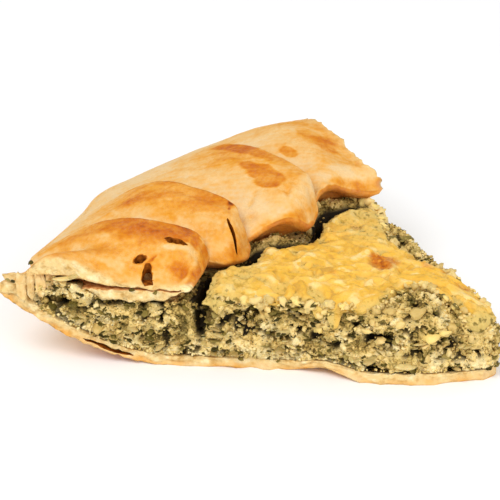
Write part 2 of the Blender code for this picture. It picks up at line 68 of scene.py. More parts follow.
# The slice's sizes. Nearly all are also the solids', so that the fine surfaces follow them.
PIE_RADIUS = 132
Wave = namedtuple("Wave", "angle half_width depth")
RIM_WAVES = (
    Wave(18.0, 24.0, 4.2),
    Wave(16.0, 13.0, 1.3),
    Wave(28.5, 6.0, -1.3),
    Wave(39.0, 9.0, 1.1),
    Wave(52.0, 10.0, -1.3),
)
RIM_FLARE = 2.2
RIM_FLARE_WIDTH = 6.0
PINCH = 3.5
PINCH_ANGLE, PINCH_WIDTH = 4.5, 4.0
SLICE_ANGLE = math.radians(60)
NOSE_RADIUS = 3.5
TIP_STRETCH = 3.0
TIP_LENGTH = 30
GAP = 0.35
CHEESE_GAP = 0.6
COVER_GAP = 0.65

BASE_THICKNESS = 2.8
FLAT_RADIUS = 88
RIM_HEIGHT = 20
RIM_CURVE = 1.8
RIM_EDGE = 2.8
RIM_SWELL = 0.6
RIM_TUCK = 1.5
FILLING_RADIUS = 124

Pleat = namedtuple("Pleat", "end valley ridge swell lip foot")
PLEATS_START = -3.0
PLEATS = (
    Pleat(end=12.5, valley=21.2, ridge=32.3, swell=1.3, lip=80.0, foot=82.0),
    Pleat(end=24.2, valley=25.0, ridge=32.8, swell=0.75, lip=72.5, foot=80.3),
    Pleat(end=43.2, valley=25.5, ridge=34.2, swell=0.80, lip=65.0, foot=75.0),
    Pleat(end=62.5, valley=26.0, ridge=34.2, swell=0.85, lip=74.5, foot=70.5),
)
LAST_FOOT = 71
CREST = 0.93
FULL_HEIGHT = 0.60
FAR_FULL_HEIGHT = 0.47
FAR_SLUMP = 2.8
SLUMP_START, SLUMP_END = 0.5, 0.85
DOME = 1.8
DOME_PLACE, DOME_WIDTH = 0.55, 0.65
EDGE_LIFT = 7.0
EDGE_LIFT_PLACE = 0.26
EDGE_LIFT_RISE, EDGE_LIFT_FALL = 0.22, 0.42
EDGE_LIFT_SHARE = 0.11
FOLD_OVERHANG = 1.6
FOLD_START, FOLD_WIDTH = 0.84, 0.15
FOLD_TUCK = 0.4
FOLD_EASE = 0.5
DROOP_START = 0.87
DROOP_CURVE = 3.2
EARLY_DROOP = 0.10
RIDGE_TWIST = math.radians(3.0)
RIDGE_BOW = 3.0
LIP_THICKNESS = 2.8
LIP_UNDERCUT = 1.5
LIP_REACH = 0.82
LIP_ROUNDING = 0.9
LIP_LEAN = 3.0
NEAR_LIP = 24.6
LOW_LIP = 22.8
FAR_LIP = 25.6
Raised = namedtuple("Raised", "share half_width height")
RAISED_LIPS = (Raised(0.49, 0.12, 4.2), Raised(0.81, 0.16, 4.4))
LIP_CURL = 3.0

COVER_HEIGHT = 18.4
END_RISE = 4.0
END_RISE_RADIUS, END_RISE_WIDTH = 114.5, 12
END_RISE_SHARE = 0.13
TOP_HEIGHT = 22.4
TIP_DROP = 5.0
TIP_DROP_LENGTH = 24
FAR_DROP = 1.8
FAR_DROP_START, FAR_DROP_END = 30, 60
CHEESE_THICKNESS = 2.6
CHEESE_ROUNDING = 0.9
GROOVE_WIDTH = 3.0
GROOVE_DEPTH = 6.5
SAG = 1.8
SAG_START, SAG_END = 20, 45
SAG_SHARE = 0.15
Break = namedtuple("Break", "radius half_width share")
NEAR_BREAK = Break(radius=21, half_width=12, share=0.42)
FAR_BREAK = Break(radius=42, half_width=27, share=0.13)
BREAK_RISE = 1.4
BULGE_RADIUS = 28
BULGE_WIDTH = 30
BULGE = 6.4
BULGE_TOP = 0.45
ARCH_RADIUS = 45.0
ARCH_WIDTH = 5.0
ARCH_HEIGHT = 2.2
ARCH_REACH = 8
UNEVENNESS = 0.9
UNEVEN_GRAIN = 24

Hole = namedtuple("Hole", "radius height half_width half_height depth")
NEAR_HOLES = (
    Hole(79, 16, 1.8, 8, 6.0),
    Hole(67, 12, 3.6, 4.5, 4.5),
    Hole(53, 16, 3.0, 2.2, 3.5),
    Hole(48, 10, 2.4, 3.0, 3.0),
    Hole(31, 11, 5.0, 3.0, 4.0),
    Hole(104, 17.5, 6.0, 1.8, 3.0),
    Hole(119, 18, 5.0, 1.6, 3.0),
    Hole(15, 10, 3.5, 3.0, 3.0),
)
FAR_HOLES = (
    Hole(92, 13, 5.0, 3.5, 3.5),
    Hole(60, 11, 4.0, 4.5, 4.0),
    Hole(36, 14, 5.0, 3.0, 3.5),
    Hole(110, 17, 5.0, 2.0, 3.0),
)
HOLE_SOFTNESS = 1.6

# The holes reach less far into the fine filling than into the solid
HOLE_REACH = 10

# Shares of the filling's grid, along the radius, that end below the cheese and past the crevice
COVERED_END, GROOVE_END = 0.6, 0.76

# The ragged edges fade out within this share of the slice's angle
CUT_FADE = 0.006

# The hollow of the first pleat, open at the near cut, and that of the last one, open at the far cut
NEAR_POCKET_START, NEAR_POCKET_END = 84, 122.5
NEAR_POCKET_SHARE = 0.165
NEAR_POCKET_FLOOR = 3.4
SKIN_GAP = 0.7
SKIN_LIFT = 5.2
NEAR_POCKET_ARCH = 6.5
FAR_POCKET_START, FAR_POCKET_END = 90, 121
FAR_POCKET_SHARE = 0.89
FAR_POCKET_FLOOR = 2.0
FAR_POCKET_ARCH = 7.0

# Tears in the first pleat's skin, a slit at the second pleat's end and a split in the base's cut edge
Tear = namedtuple("Tear", "name radius angle length width turn seed")
TEARS = (
    Tear("tear_at_cut", 93.2, 1.2, 7.5, 2.8, 1.4, 51.0),
    Tear("tear_in_middle", 96.3, 3.9, 3.8, 2.4, -0.3, 52.0),
    Tear("tear_near_ridge", 87.4, 7.8, 6.6, 2.0, 0.1, 53.0),
)
TEAR_BOTTOM, TEAR_TOP = 23.4, 42
SLIT_BOTTOM = 20.0
SLIT_START, SLIT_END = 73.6, 78.5
SLIT_START_ANGLE, SLIT_END_ANGLE = 15.8, 19.2
SLIT_HALF_WIDTH = 0.85
SPLIT_START, SPLIT_END = 97, 110
SPLIT_HALF_WIDTH = 0.6
SPLIT_LEVEL = 0.42


def mix(a, b, t):
    return a + (b - a) * t


def smooth(low, high, x):
    t = np.clip((x - low) / (high - low), 0, 1)
    return t * t * (3 - 2 * t)


def bump(x):
    """1 at 0, falling smoothly to 0 at -1 and 1."""
    return (1 - np.minimum(x * x, 1)) ** 2


def spread(count, start=0.0, end=1.0):
    """Evenly spaced fractions from start to end, both included."""
    return np.linspace(start, end, count + 1)


def stack(*columns):
    return np.stack(np.broadcast_arrays(*columns), axis=-1)


def rough(points, grain, seed):
    """Smooth random heights from -1 to 1 at points, with bumps of about the grain's size."""
    shifted = np.asarray(points) / grain + np.array([seed, 3.7 * seed, -2.1 * seed])
    return np.array([noise.noise(p) for p in shifted.reshape(-1, 3).tolist()])


def cells(points, grain, seed):
    """For each point the distance to its Voronoi cell's middle and a random number for the cell."""
    shifted = np.asarray(points) / grain + np.array([seed, 3.7 * seed, -2.1 * seed])
    near = np.empty(len(shifted))
    lot = np.empty(len(shifted))
    for i, p in enumerate(shifted.tolist()):
        distances, middles = noise.voronoi(p)
        near[i] = distances[0]
        lot[i] = (middles[0].x * 12.9898 + middles[0].y * 78.233 + middles[0].z * 37.719) % 1.0
    return near, lot


def rough_along(x, grain, seed):
    """Smooth random heights from -1 to 1 along one line."""
    return rough(stack(x, 0 * x, 0 * x), grain, seed)


def flat(r, v):
    """Points of a level plane at radius r and share v of the slice's angle."""
    return stack(r * np.cos(v * SLICE_ANGLE), r * np.sin(v * SLICE_ANGLE), 0 * r)


def nose(v):
    """Radius at which the slice's rounded tip starts, a circle that touches both cuts."""
    off_middle = (v - 0.5) * SLICE_ANGLE
    centre = NOSE_RADIUS / math.sin(SLICE_ANGLE / 2)
    across = centre * np.sin(off_middle)
    return centre * np.cos(off_middle) - np.sqrt(np.maximum(NOSE_RADIUS**2 - across**2, 0))


def place(r, v, z, shift=0.0):
    """Points of the frame at radius r, share v of the slice's angle and height z.

    shift moves them sideways, towards the far cut.
    """
    angle = v * SLICE_ANGLE + shift / np.maximum(r, NOSE_RADIUS)
    degrees = np.degrees(angle)
    dip = sum(wave.depth * bump((degrees - wave.angle) / wave.half_width) for wave in RIM_WAVES)
    flare = RIM_FLARE * (1 - smooth(0, RIM_FLARE_WIDTH, degrees))
    pinch = PINCH * bump((degrees - PINCH_ANGLE) / PINCH_WIDTH)
    r = r + (flare - dip - pinch) * smooth(FLAT_RADIUS, PIE_RADIUS, r)
    x = TIP_STRETCH * (1 - smooth(0, TIP_LENGTH, r)) - r * np.cos(angle)
    y = r * np.sin(angle)
    near = (1 - np.clip(v, 0, 1)) ** 10
    low = mix(1, BULGE_TOP, np.clip(z / TOP_HEIGHT, 0, 1))
    y = y - BULGE * bump((r - BULGE_RADIUS) / BULGE_WIDTH) * low * near
    arch = bump((r - ARCH_RADIUS) / (2 * ARCH_WIDTH)) * np.clip(1 - z / ARCH_REACH, 0, 1)
    z = z + ARCH_HEIGHT * arch * near
    return stack(x, y, z) + PIE_MIDDLE


def underside(r):
    """Height of the dough's outer face below the filling."""
    t = np.clip((r - FLAT_RADIUS) / (PIE_RADIUS - FLAT_RADIUS), 0, 1)
    return RIM_HEIGHT * t**RIM_CURVE


def base_top(r):
    """Height of the dough's inner face below the filling."""
    run = PIE_RADIUS - FLAT_RADIUS
    t = np.clip((r - FLAT_RADIUS) / run, 0, 1)
    slope = RIM_CURVE * RIM_HEIGHT / run * t ** (RIM_CURVE - 1)
    return underside(r) + BASE_THICKNESS * np.hypot(1, slope)


def pleat_at(v):
    """For each v its pleat's number and how far across that pleat it is."""
    angle = np.degrees(v * SLICE_ANGLE)
    ends = np.array([p.end for p in PLEATS])
    starts = np.array([PLEATS_START, *ends[:-1]])
    number = np.minimum(np.searchsorted(ends, angle), len(PLEATS) - 1)
    return number, (angle - starts[number]) / (ends - starts)[number]


def pleat_values(field):
    return np.array([getattr(p, field) for p in PLEATS])


def pleat_height(v):
    number, across = pleat_at(v)
    valley, ridge = pleat_values("valley"), pleat_values("ridge")
    climb = np.sin(math.pi / 2 * np.clip(across / CREST, 0, 1)) ** pleat_values("swell")[number]
    rising = mix(valley[number], ridge[number], climb)
    following = np.minimum(number + 1, len(PLEATS) - 1)
    falling = mix(ridge[number], valley[following], smooth(CREST, 1, across))
    return np.where(across <= CREST, rising, falling)


def lip_radius(v):
    """Radius of the flap's inner edge, which bulges inwards with each pleat."""
    number, across = pleat_at(v)
    feet = np.array([p.foot for p in PLEATS] + [LAST_FOOT])
    straight = mix(feet[number], feet[number + 1], across)
    middle = mix(feet[number], feet[number + 1], 0.5)
    return straight + (pleat_values("lip")[number] - middle) * np.sin(math.pi * np.clip(across, 0, 1)) ** 0.8


def second_pleat(v):
    """1 along the second pleat's drape, which hangs lower and leans, and 0 elsewhere."""
    return smooth(0.18, 0.25, v) * (1 - smooth(0.36, 0.44, v))


def edge_radius(v):
    """Where the filling and the cheese meet the lip, past the second pleat's leaning drape."""
    leaning = v + LIP_LEAN / (lip_radius(v) * SLICE_ANGLE) * second_pleat(v)
    return np.minimum(lip_radius(v), lip_radius(leaning))


def lip_rise(v):
    return sum(lip.height * bump((v - lip.share) / lip.half_width) for lip in RAISED_LIPS)


def lip_height(v):
    return mix(mix(NEAR_LIP, FAR_LIP, smooth(0.38, 0.5, v)), LOW_LIP, second_pleat(v)) + lip_rise(v)


def fold_shift(v):
    """How far the fold at a pleat's crest leans over the next pleat."""
    across = pleat_at(v)[1]
    lean = np.sin(math.pi * np.clip((across - FOLD_START) / FOLD_WIDTH, 0, 1))
    in_valley = smooth(0.96, 1.0, across) + smooth(0.08, 0.0, across)
    return FOLD_OVERHANG * (lean - FOLD_TUCK * in_valley)


def flap_shift(t, v):
    """How far the flap's upper face moves sideways: folds lean, ridges bow and the lips curl."""
    twist = RIDGE_TWIST * (1 - smooth(0, 0.35, t)) * 4 * v * (1 - v)
    r = mix(PIE_RADIUS, lip_radius(v), t)
    side = fold_shift(v) * smooth(0, 0.25, t) * (1 - FOLD_EASE * smooth(0.9, 1, t)) - twist * r
    side = side + RIDGE_BOW * np.sin(math.pi * t) * 4 * v * (1 - v) * smooth(0.1, 0.4, v)
    side = side - LIP_LEAN * smooth(0.8, 1, t) * second_pleat(v)
    return side + LIP_CURL * smooth(0.85, 1, t) * smooth(0.9, 1, v)


def flap_top(t, v):
    """Radius and height of the flap's upper face, t from 0 at the rim to 1 at the lip."""
    r = mix(PIE_RADIUS - RIM_TUCK, lip_radius(v), t)
    rise = 1 - (1 - np.clip(t / mix(FULL_HEIGHT, FAR_FULL_HEIGHT, smooth(0.7, 0.9, v)), 0, 1)) ** 2
    dome = DOME * bump((t - DOME_PLACE) / DOME_WIDTH) * smooth(0, 0.35, v) * (1 - smooth(0.88, 1, v))
    z = mix(RIM_HEIGHT + RIM_EDGE, pleat_height(v) + dome, rise)
    width = np.where(t < EDGE_LIFT_PLACE, EDGE_LIFT_RISE, EDGE_LIFT_FALL)
    z = z + EDGE_LIFT * bump((t - EDGE_LIFT_PLACE) / width) * (1 - smooth(0, EDGE_LIFT_SHARE, v))
    z = z - FAR_SLUMP * smooth(SLUMP_START, SLUMP_END, t) * smooth(0.86, 1.0, v)
    droop = np.clip((t - DROOP_START) / (1 - DROOP_START), 0, 1) ** DROOP_CURVE
    droop = mix(EARLY_DROOP * smooth(0.75, 1.0, t), 1.0, droop)
    z = mix(z, lip_height(v), droop)
    here = stack(r * np.cos(v), r * np.sin(v), 0 * r)
    return r, z + UNEVENNESS * rough(here, UNEVEN_GRAIN, 1.0) * rise


def top_height(r, v):
    """Height of the cheese's upper face before its lumps."""
    sag = SAG * smooth(SAG_START, SAG_END, r) * (1 - np.clip(v / SAG_SHARE, 0, 1)) ** 2
    tip = TIP_DROP * (1 - smooth(0, TIP_DROP_LENGTH, r))
    far = FAR_DROP * smooth(0.6, 1.0, v) * (1 - smooth(FAR_DROP_START, FAR_DROP_END, r))
    return TOP_HEIGHT - sag - tip - far


def cheese_span(r):
    """The shares of the angle where the cheese starts and ends: it is broken off at both cuts."""
    start = NEAR_BREAK.share * bump((r - NEAR_BREAK.radius) / NEAR_BREAK.half_width)
    end = 1 - FAR_BREAK.share * bump((r - FAR_BREAK.radius) / FAR_BREAK.half_width)
    return start, end


def groove(r, v):
    """Depth of the crevice between the cheese and the flap's lip."""
    middle = edge_radius(v) - 0.5 * GROOVE_WIDTH
    along = smooth(0.0, 0.06, v) * (1 - 0.8 * smooth(0.86, 0.98, v))
    return GROOVE_DEPTH * bump((r - middle) / (0.62 * GROOVE_WIDTH)) * mix(0.5, 1.0, along)


def cover_height(r, v):
    """Top of the filling below the flap."""
    at_end = bump((r - END_RISE_RADIUS) / END_RISE_WIDTH) * (1 - smooth(0, END_RISE_SHARE, v))
    return COVER_HEIGHT + END_RISE * at_end


def filling_top(r, v):
    edge = edge_radius(v)
    start, end = cheese_span(r)
    bare = smooth(0.06, 0.14, start - v) * smooth(0, 0.12, v) + smooth(0.035, 0.06, v - end)
    under_cheese = top_height(r, v) - CHEESE_THICKNESS + BREAK_RISE * bare
    level = mix(under_cheese, cover_height(r, v), smooth(edge - GROOVE_WIDTH, edge, r))
    return level - groove(r, v)


def hole_depth(holes, r, z):
    """How deep the holes are at places of a cut."""
    depths = []
    for hole in holes:
        across = bump((r - hole.radius) / hole.half_width / HOLE_SOFTNESS)
        depths.append(hole.depth * across * bump((z - hole.height) / hole.half_height / HOLE_SOFTNESS))
    return np.max(depths, axis=0)


# Meshes

def new_object(name, points, faces, material, masks=None):
    """A smooth-shaded mesh object with a float attribute for each mask."""
    mesh = bpy.data.meshes.new(name)
    mesh.from_pydata((np.asarray(points) * MM).tolist(), [], np.asarray(faces).tolist())
    mesh.update()
    for mask, values in (masks or {}).items():
        attribute = mesh.attributes.new(mask, "FLOAT", "POINT")
        attribute.data.foreach_set("value", np.asarray(values, np.float32))
    mesh.materials.append(material)
    mesh.shade_smooth()
    piece = bpy.data.objects.new(name, mesh)
    bpy.context.scene.collection.objects.link(piece)
    return piece


def box_surface(us, vs, ws):
    """Grid indices of a box's surface and its quads, which face out of the box."""
    sizes = (len(us), len(vs), len(ws))
    quads = []
    for axis in range(3):
        a, b = (axis + 1) % 3, (axis + 2) % 3
        i, j = np.meshgrid(np.arange(sizes[a] - 1), np.arange(sizes[b] - 1), indexing="ij")
        i, j = i.ravel(), j.ravel()
        for end in (0, sizes[axis] - 1):
            corners = np.zeros((len(i), 4, 3), np.int64)
            corners[:, :, axis] = end
            corners[:, :, a] = i[:, None] + (0, 1, 1, 0)
            corners[:, :, b] = j[:, None] + (0, 0, 1, 1)
            quads.append(corners if end else corners[:, ::-1])
    quads = np.concatenate(quads)
    keys = (quads[..., 0] * sizes[1] + quads[..., 1]) * sizes[2] + quads[..., 2]
    unique, index = np.unique(keys, return_inverse=True)
    u = np.asarray(us)[unique // (sizes[1] * sizes[2])]
    v = np.asarray(vs)[unique // sizes[2] % sizes[1]]
    w = np.asarray(ws)[unique % sizes[2]]
    return u, v, w, index.reshape(-1, 4)


def facing_out(points, faces):
    """The quads, turned round if they enclose a negative volume."""
    points = points - points.mean(axis=0)
    a, b, c, d = (points[faces[:, i]] for i in range(4))
    volume = np.sum(a * np.cross(b, c)) + np.sum(a * np.cross(c, d))
    return faces if volume > 0 else faces[:, ::-1]


# The dough sheet: shares of its length from the tip of the base round the rim to the flap's lip
BASE_END, RISE_END, TURN_END = 0.24, 0.46, 0.56

# Browned and floury places of the flap: radius, angle in degrees, half sizes, how brown it is, how
# much of that shows and how soft its edge is
Patch = namedtuple("Patch", "radius angle along across brown strength edge")
PATCHES = (
    Patch(96, 30.0, 14, 6, 0.10, 0.7, 0.9),
    Patch(77, 16.5, 5, 4.4, 0.14, 0.9, 0.9),
    Patch(102, 14.6, 16, 3.0, 0.05, 0.95, 0.9),
    Patch(118, 6.0, 6, 5, 0.16, 0.9, 0.8),
    Patch(98, 9.6, 18, 5.0, 0.72, 0.95, 0.95),
    Patch(110, 7.5, 5, 3.6, 0.30, 0.7, 0.9),
    Patch(92, 6.6, 5, 2.0, 0.36, 0.7, 0.9),
    Patch(85, 10.4, 7, 3.6, 0.72, 0.9, 0.9),
    Patch(92, 3.6, 3.0, 3.0, 0.50, 0.9, 0.9),
    Patch(85, 3.4, 4.5, 4.0, 0.66, 0.9, 0.8),
    Patch(103.5, 2.4, 4, 1.8, 0.24, 0.9, 0.7),
    Patch(83, 7.2, 4.5, 2.2, 0.10, 0.8, 0.5),
    Patch(88, 6.5, 4.5, 0.9, 0.12, 0.8, 0.5),
    Patch(121, 1.2, 5, 1.8, 0.60, 0.9, 0.6),
    Patch(110, 19.5, 12, 4.4, 0.58, 0.9, 0.95),
    Patch(87, 21.6, 11, 2.8, 0.60, 0.9, 0.9),
    Patch(81, 22.9, 1.6, 0.6, 1.1, 1.0, 0.6),
    Patch(80, 22.2, 0.8, 0.4, 1.1, 1.0, 0.6),
    Patch(85, 36.6, 8.5, 3.6, 0.70, 0.95, 0.18),
    Patch(80, 34.5, 4.5, 3.0, 0.66, 0.95, 0.2),
    Patch(101, 40.6, 12, 2.6, 0.68, 0.9, 0.4),
    Patch(88, 40.8, 9, 2.4, 0.60, 0.9, 0.6),
    Patch(95.5, 49.3, 3.8, 2.0, 0.56, 0.95, 0.15),
    Patch(93, 56.5, 8, 3.4, 0.52, 0.95, 0.18),
    Patch(101, 55.5, 6, 2.4, 0.50, 0.9, 0.2),
    Patch(76.7, 52.2, 4, 2.0, 0.30, 0.9, 0.9),
    Patch(74, 60.5, 4, 1.8, 0.85, 0.9, 0.8),
    Patch(75, 57.0, 3, 2.6, 0.46, 0.9, 0.9),
)

# Creases and cracks of the flap, from one place to another: radius and angle of each end, half width,
# depth and how much browner it is
Crease = namedtuple("Crease", "radius angle end_radius end_angle half_width depth brown")
CREASES = (
    Crease(94, 3.4, 89, 6.6, 0.5, 0.35, 0.5),
    Crease(84, 8.4, 81.5, 12.4, 0.6, 0.30, -0.3),
    Crease(83, 10.0, 82, 7.0, 1.1, 0.9, 0.12),
    Crease(82, 7.0, 84.5, 1.0, 1.3, 1.2, 0.15),
    Crease(78, 15.0, 79, 19.5, 1.2, 0.7, 0.15),
    Crease(74.5, 18.5, 78, 21.0, 1.0, 0.6, 0.1),
    Crease(80.5, 31.5, 79, 27.0, 1.1, 0.6, 0.2),
    Crease(79, 27.0, 75, 26.0, 1.3, 0.8, 0.15),
    Crease(74, 36.0, 70, 33.0, 1.3, 0.6, 0.1),
)


def creased(r, v):
    """Depth of the creases at places of the flap, and how much browner they are there."""
    depth, brown = np.zeros(len(r)), np.zeros(len(r))
    here = flat(r, v)
    wander = 0.7 * rough(here, 3, 38.0)
    for crease in CREASES:
        a, b = math.radians(crease.angle), math.radians(crease.end_angle)
        start = crease.radius * np.array([math.cos(a), math.sin(a)])
        run = crease.end_radius * np.array([math.cos(b), math.sin(b)]) - start
        away = here[:, :2] - start
        along = np.clip(away @ run / (run @ run), 0, 1)
        distance = np.hypot(*(away - along[:, None] * run).T) + wander
        near = bump(distance / crease.half_width) * np.sin(math.pi * mix(0.12, 0.88, along))
        depth = np.maximum(depth, crease.depth * near)
        brown = np.where(near > 0.02, crease.brown * near, brown)
    return depth, brown


def patched(brown, r, v):
    """How brown places of the flap are, with its patches."""
    wobble = 0.35 * rough(stack(r * np.cos(v), r * np.sin(v), 0 * r), 5, 31.0)
    for patch in PATCHES:
        away = np.radians(patch.angle) - v * SLICE_ANGLE
        distance = np.hypot((r - patch.radius) / patch.along, away * r / patch.across) + wobble
        brown = mix(brown, patch.brown, patch.strength * (1 - smooth(1 - patch.edge, 1.0, distance)))
    return brown


def plain_sheet(u, v, w, t):
    """Radius and height of the sheet without its relief, and the height of the flap's upper face."""
    stretches = [u <= BASE_END, u <= RISE_END, u <= TURN_END]
    climb = np.clip((u - BASE_END) / (RISE_END - BASE_END), 0, 1)
    turn = np.clip((u - RISE_END) / (TURN_END - RISE_END), 0, 1)
    level = mix(nose(v), FLAT_RADIUS, np.clip(u / BASE_END, 0, 1))

    inner_end = FILLING_RADIUS + GAP
    inner_rise = mix(FLAT_RADIUS, inner_end, climb)
    inner_flap = mix(inner_end, lip_radius(v) + LIP_UNDERCUT, t)
    inner_r = np.select(stretches, [level, inner_rise, inner_end], inner_flap)
    cover = cover_height(inner_r, v) + COVER_GAP
    inner_z = np.select(
        stretches,
        [BASE_THICKNESS, base_top(inner_rise), mix(base_top(inner_r), cover, turn)],
        mix(cover, lip_height(v) - LIP_THICKNESS, smooth(LIP_REACH, 1, t)))

    flap_r, flap_z = flap_top(t, v)
    outer_rise = mix(FLAT_RADIUS, PIE_RADIUS, climb)
    rim = PIE_RADIUS + RIM_SWELL * np.sin(math.pi * turn) - RIM_TUCK * turn**2
    outer_r = np.select(stretches, [level, outer_rise, rim], flap_r)
    outer_z = np.select(stretches, [0.0, underside(outer_rise), RIM_HEIGHT + RIM_EDGE * turn], flap_z)
    r = mix(inner_r, outer_r, w) - LIP_ROUNDING * np.sin(math.pi * w) * (u >= 1.0)
    return r, mix(inner_z, outer_z, w), flap_z


def dough_sheet():
    """The folded sheet's grid, as arrays with one value for each of its points.

    u runs along the sheet, v across the slice, w from its inner to its outer face and t along the flap.
    """
    s = SimpleNamespace()
    us = np.unique(np.concatenate([
        spread(44, 0, BASE_END), spread(44, BASE_END, RISE_END), spread(12, RISE_END, TURN_END),
        mix(TURN_END, 1, spread(66, 0, 0.84)), mix(TURN_END, 1, spread(30, 0.84, 1))]).round(6))
    vs = np.concatenate([spread(12, 0, 0.02)[:-1], spread(188, 0.02, 0.98)[:-1], spread(12, 0.98, 1)])
    s.u, s.v, s.w, s.faces = box_surface(us, vs, spread(8))
    s.t = np.clip((s.u - TURN_END) / (1 - TURN_END), 0, 1)
    s.on_base, s.below_rim, s.flap = s.u <= BASE_END, s.u <= RISE_END, s.u > TURN_END
    s.outside = s.w >= 1.0
    s.number, s.across = pleat_at(s.v)
    s.near_cut, s.far_cut = np.exp(-s.v / CUT_FADE), np.exp(-(1 - s.v) / CUT_FADE)
    s.at_cut = np.maximum(s.near_cut, s.far_cut)
    s.r, s.z, s.flap_z = plain_sheet(s.u, s.v, s.w, s.t)
    s.side = np.where(s.flap, flap_shift(s.t, s.v), 0.0) * s.w
    s.arc = s.v * SLICE_ANGLE * s.r
    s.here = flat(s.r, s.v) + stack(0.0, 0.0, s.z)
    s.streaks = rough(stack(0.12 * s.r, s.arc, 0.12 * s.z), 1.3, 20.0)
    s.broad_streaks = rough(stack(0.2 * s.r, s.arc, 0 * s.z), 4, 35.0)
    s.waves = rough(s.here, 7, 12.0)
    s.grain = rough(s.here, 1.5, 24.0)
    return s


def skin_relief(s):
    """Height of the baked skin's waves, creases, blisters and streaks."""
    skin = 0.24 * s.waves + 0.12 * rough(s.here, 2.8, 13.0) + 0.05 * s.grain
    creases = 0.32 * rough(stack(0.25 * s.r, 40 * s.across, 30 * s.number), 5, 14.0)
    near_blister, blister_lot = cells(s.here, 9, 36.0)
    blisters = 0.5 * (1 - smooth(0.0, 0.32, near_blister)) * (blister_lot > 0.55)
    return skin + creases * smooth(0.1, 0.5, s.t) + blisters + 0.05 * s.streaks


def form_flap(s):
    """Gives the flap its skin, its ragged lip and the small folds that hang down at it."""
    crease_depth, s.crease_brown = creased(s.r, s.v)
    skin = skin_relief(s) - crease_depth
    s.z = s.z + s.outside * s.flap * skin * (1 - 0.7 * smooth(0.9, 1.0, s.t))
    s.z = s.z + 0.7 * rough_along(s.arc, 3.2, 39.0) * smooth(0.93, 1.0, s.t) * s.flap * s.w
    drape = smooth(0.86, 0.97, s.t) * s.outside * s.flap
    folds = np.abs(rough(stack(0 * s.r, s.arc, 0.3 * s.z), 4.5, 37.0)) - 0.25
    s.r = s.r + drape * (0.5 * s.waves - 2.2 * folds * (s.number == 1) - 1.0 * folds)


def roughen_base(s):
    """Makes the dough's underside uneven, and the cut edges layered, swollen and ragged."""
    underneath = s.outside * s.below_rim
    s.z = s.z + underneath * 0.12 * rough(s.here, 4, 15.0) * smooth(0.2, 3, s.z)
    layers = rough(stack(s.here[:, 0], 0 * s.r, 3.2 * s.z), 3.2, 16.0)
    ragged = 1.0 * layers + 0.55 * rough(s.here, 1.3, 17.0)
    s.side = s.side + ragged * (s.near_cut - s.far_cut)
    s.z = s.z + 0.4 * rough(s.here, 1.6, 18.0) * s.at_cut * (s.z > 1.5)
    hanging = np.maximum(rough_along(s.r, 3.4, 48.0), 0)
    s.z = s.z - 1.6 * hanging * s.near_cut * (1 - s.w) ** 2 * s.flap * (s.t < 0.86)
    swelling = 0.9 * rough(s.here, 5, 42.0) + 0.5 * rough(s.here, 2, 43.0)
    s.z = s.z + swelling * s.at_cut * (1 - s.w) * s.below_rim
    s.z = s.z + 0.5 * np.maximum(rough(s.here, 4, 44.0), 0) * s.at_cut * s.w * s.on_base


# How brown each pleat is on average, and how brown it is where it hangs down to its lip
PLEAT_BROWN = (0.32, 0.18, 0.00, 0.06)
DRAPE_BROWN = (0.4, 0.24, 0.06, 0.08)


def flap_brown(s):
    """How brown the flap's upper face is: most on the ridges, least in the valleys and at the rim."""
    later = s.number > 0
    height = (s.flap_z - 24) / 10
    brown = 0.06 + 0.28 * smooth(0.15, 1.05, height) * smooth(0.0, 0.75, s.across)
    brown = brown + np.array(PLEAT_BROWN)[s.number]
    brown = brown - 0.20 * smooth(0.16, 0.0, s.t) - 0.16 * smooth(0.22, 0.0, s.across) * later
    brown = patched(np.maximum(brown, 0.02), s.r, s.v) + s.crease_brown
    drape = smooth(0.87, 0.93, s.t) * (1 - smooth(0.96, 1.0, s.t)) * later
    brown = mix(brown, np.array(DRAPE_BROWN)[s.number], 0.8 * drape)
    brown = brown + 0.06 * s.waves + 0.10 * rough(s.here, 15, 19.0)
    brown = brown + 0.10 * s.streaks + 0.10 * s.broad_streaks + 0.05 * s.grain
    lip_line = bump((s.t - 0.99) / 0.03) * (0.2 + 0.4 * rough(s.here, 7, 21.0))
    return np.clip(brown + lip_line, 0, 1) * s.flap * s.w


def crust_masks(s):
    """How brown each point is, and how much of it is raw crumb and not skin."""
    underneath = np.clip(0.30 + 0.45 * rough(s.here, 14, 22.0) + 0.25 * rough(s.here, 3, 23.0), 0, 1)
    underneath = underneath * smooth(12, 2, s.z) + 0.22
    brown = np.where(s.outside & ~s.flap, underneath, flap_brown(s))
    rim = s.outside & ~s.flap & ~s.below_rim
    brown = np.where(rim, 0.16 + 0.25 * s.waves, brown)
    raw = np.where(s.outside, s.at_cut * 0.75, 1.0)
    raw = np.where((s.w < 1) & (s.w > 0) & (s.v > 0) & (s.v < 1), 0.3, raw)
    under_lip = smooth(0.8, 0.86, s.t) * (1 - s.at_cut)
    raw = np.where(s.outside, raw, mix(raw, 0.1, under_lip))
    brown = np.where(s.outside, brown, mix(brown, 0.62, under_lip))
    base_cut = ((s.v == 0) | (s.v == 1)) & s.below_rim
    raw = mix(raw, 0.15, smooth(0.35, 0.95, s.w + 0.5 * rough(s.here, 4, 40.0)) * base_cut)
    brown = np.where(base_cut, 0.22 + 0.3 * rough(s.here, 6, 41.0), brown)
    return {"brown": brown, "raw": raw}


def crust_shape():
    """Points, faces and masks of the folded dough sheet."""
    s = dough_sheet()
    form_flap(s)
    roughen_base(s)
    points = place(s.r, s.v, s.z, s.side)
    return points, facing_out(points, s.faces), crust_masks(s)


def cutter(name, divisions, shape, material):
    """A solid to cut from the crust, whose walls take its material."""
    u, v, w, faces = box_surface(*[spread(count) for count in divisions])
    points = shape(u, v, w)
    return new_object(name, points, facing_out(points, faces), material)


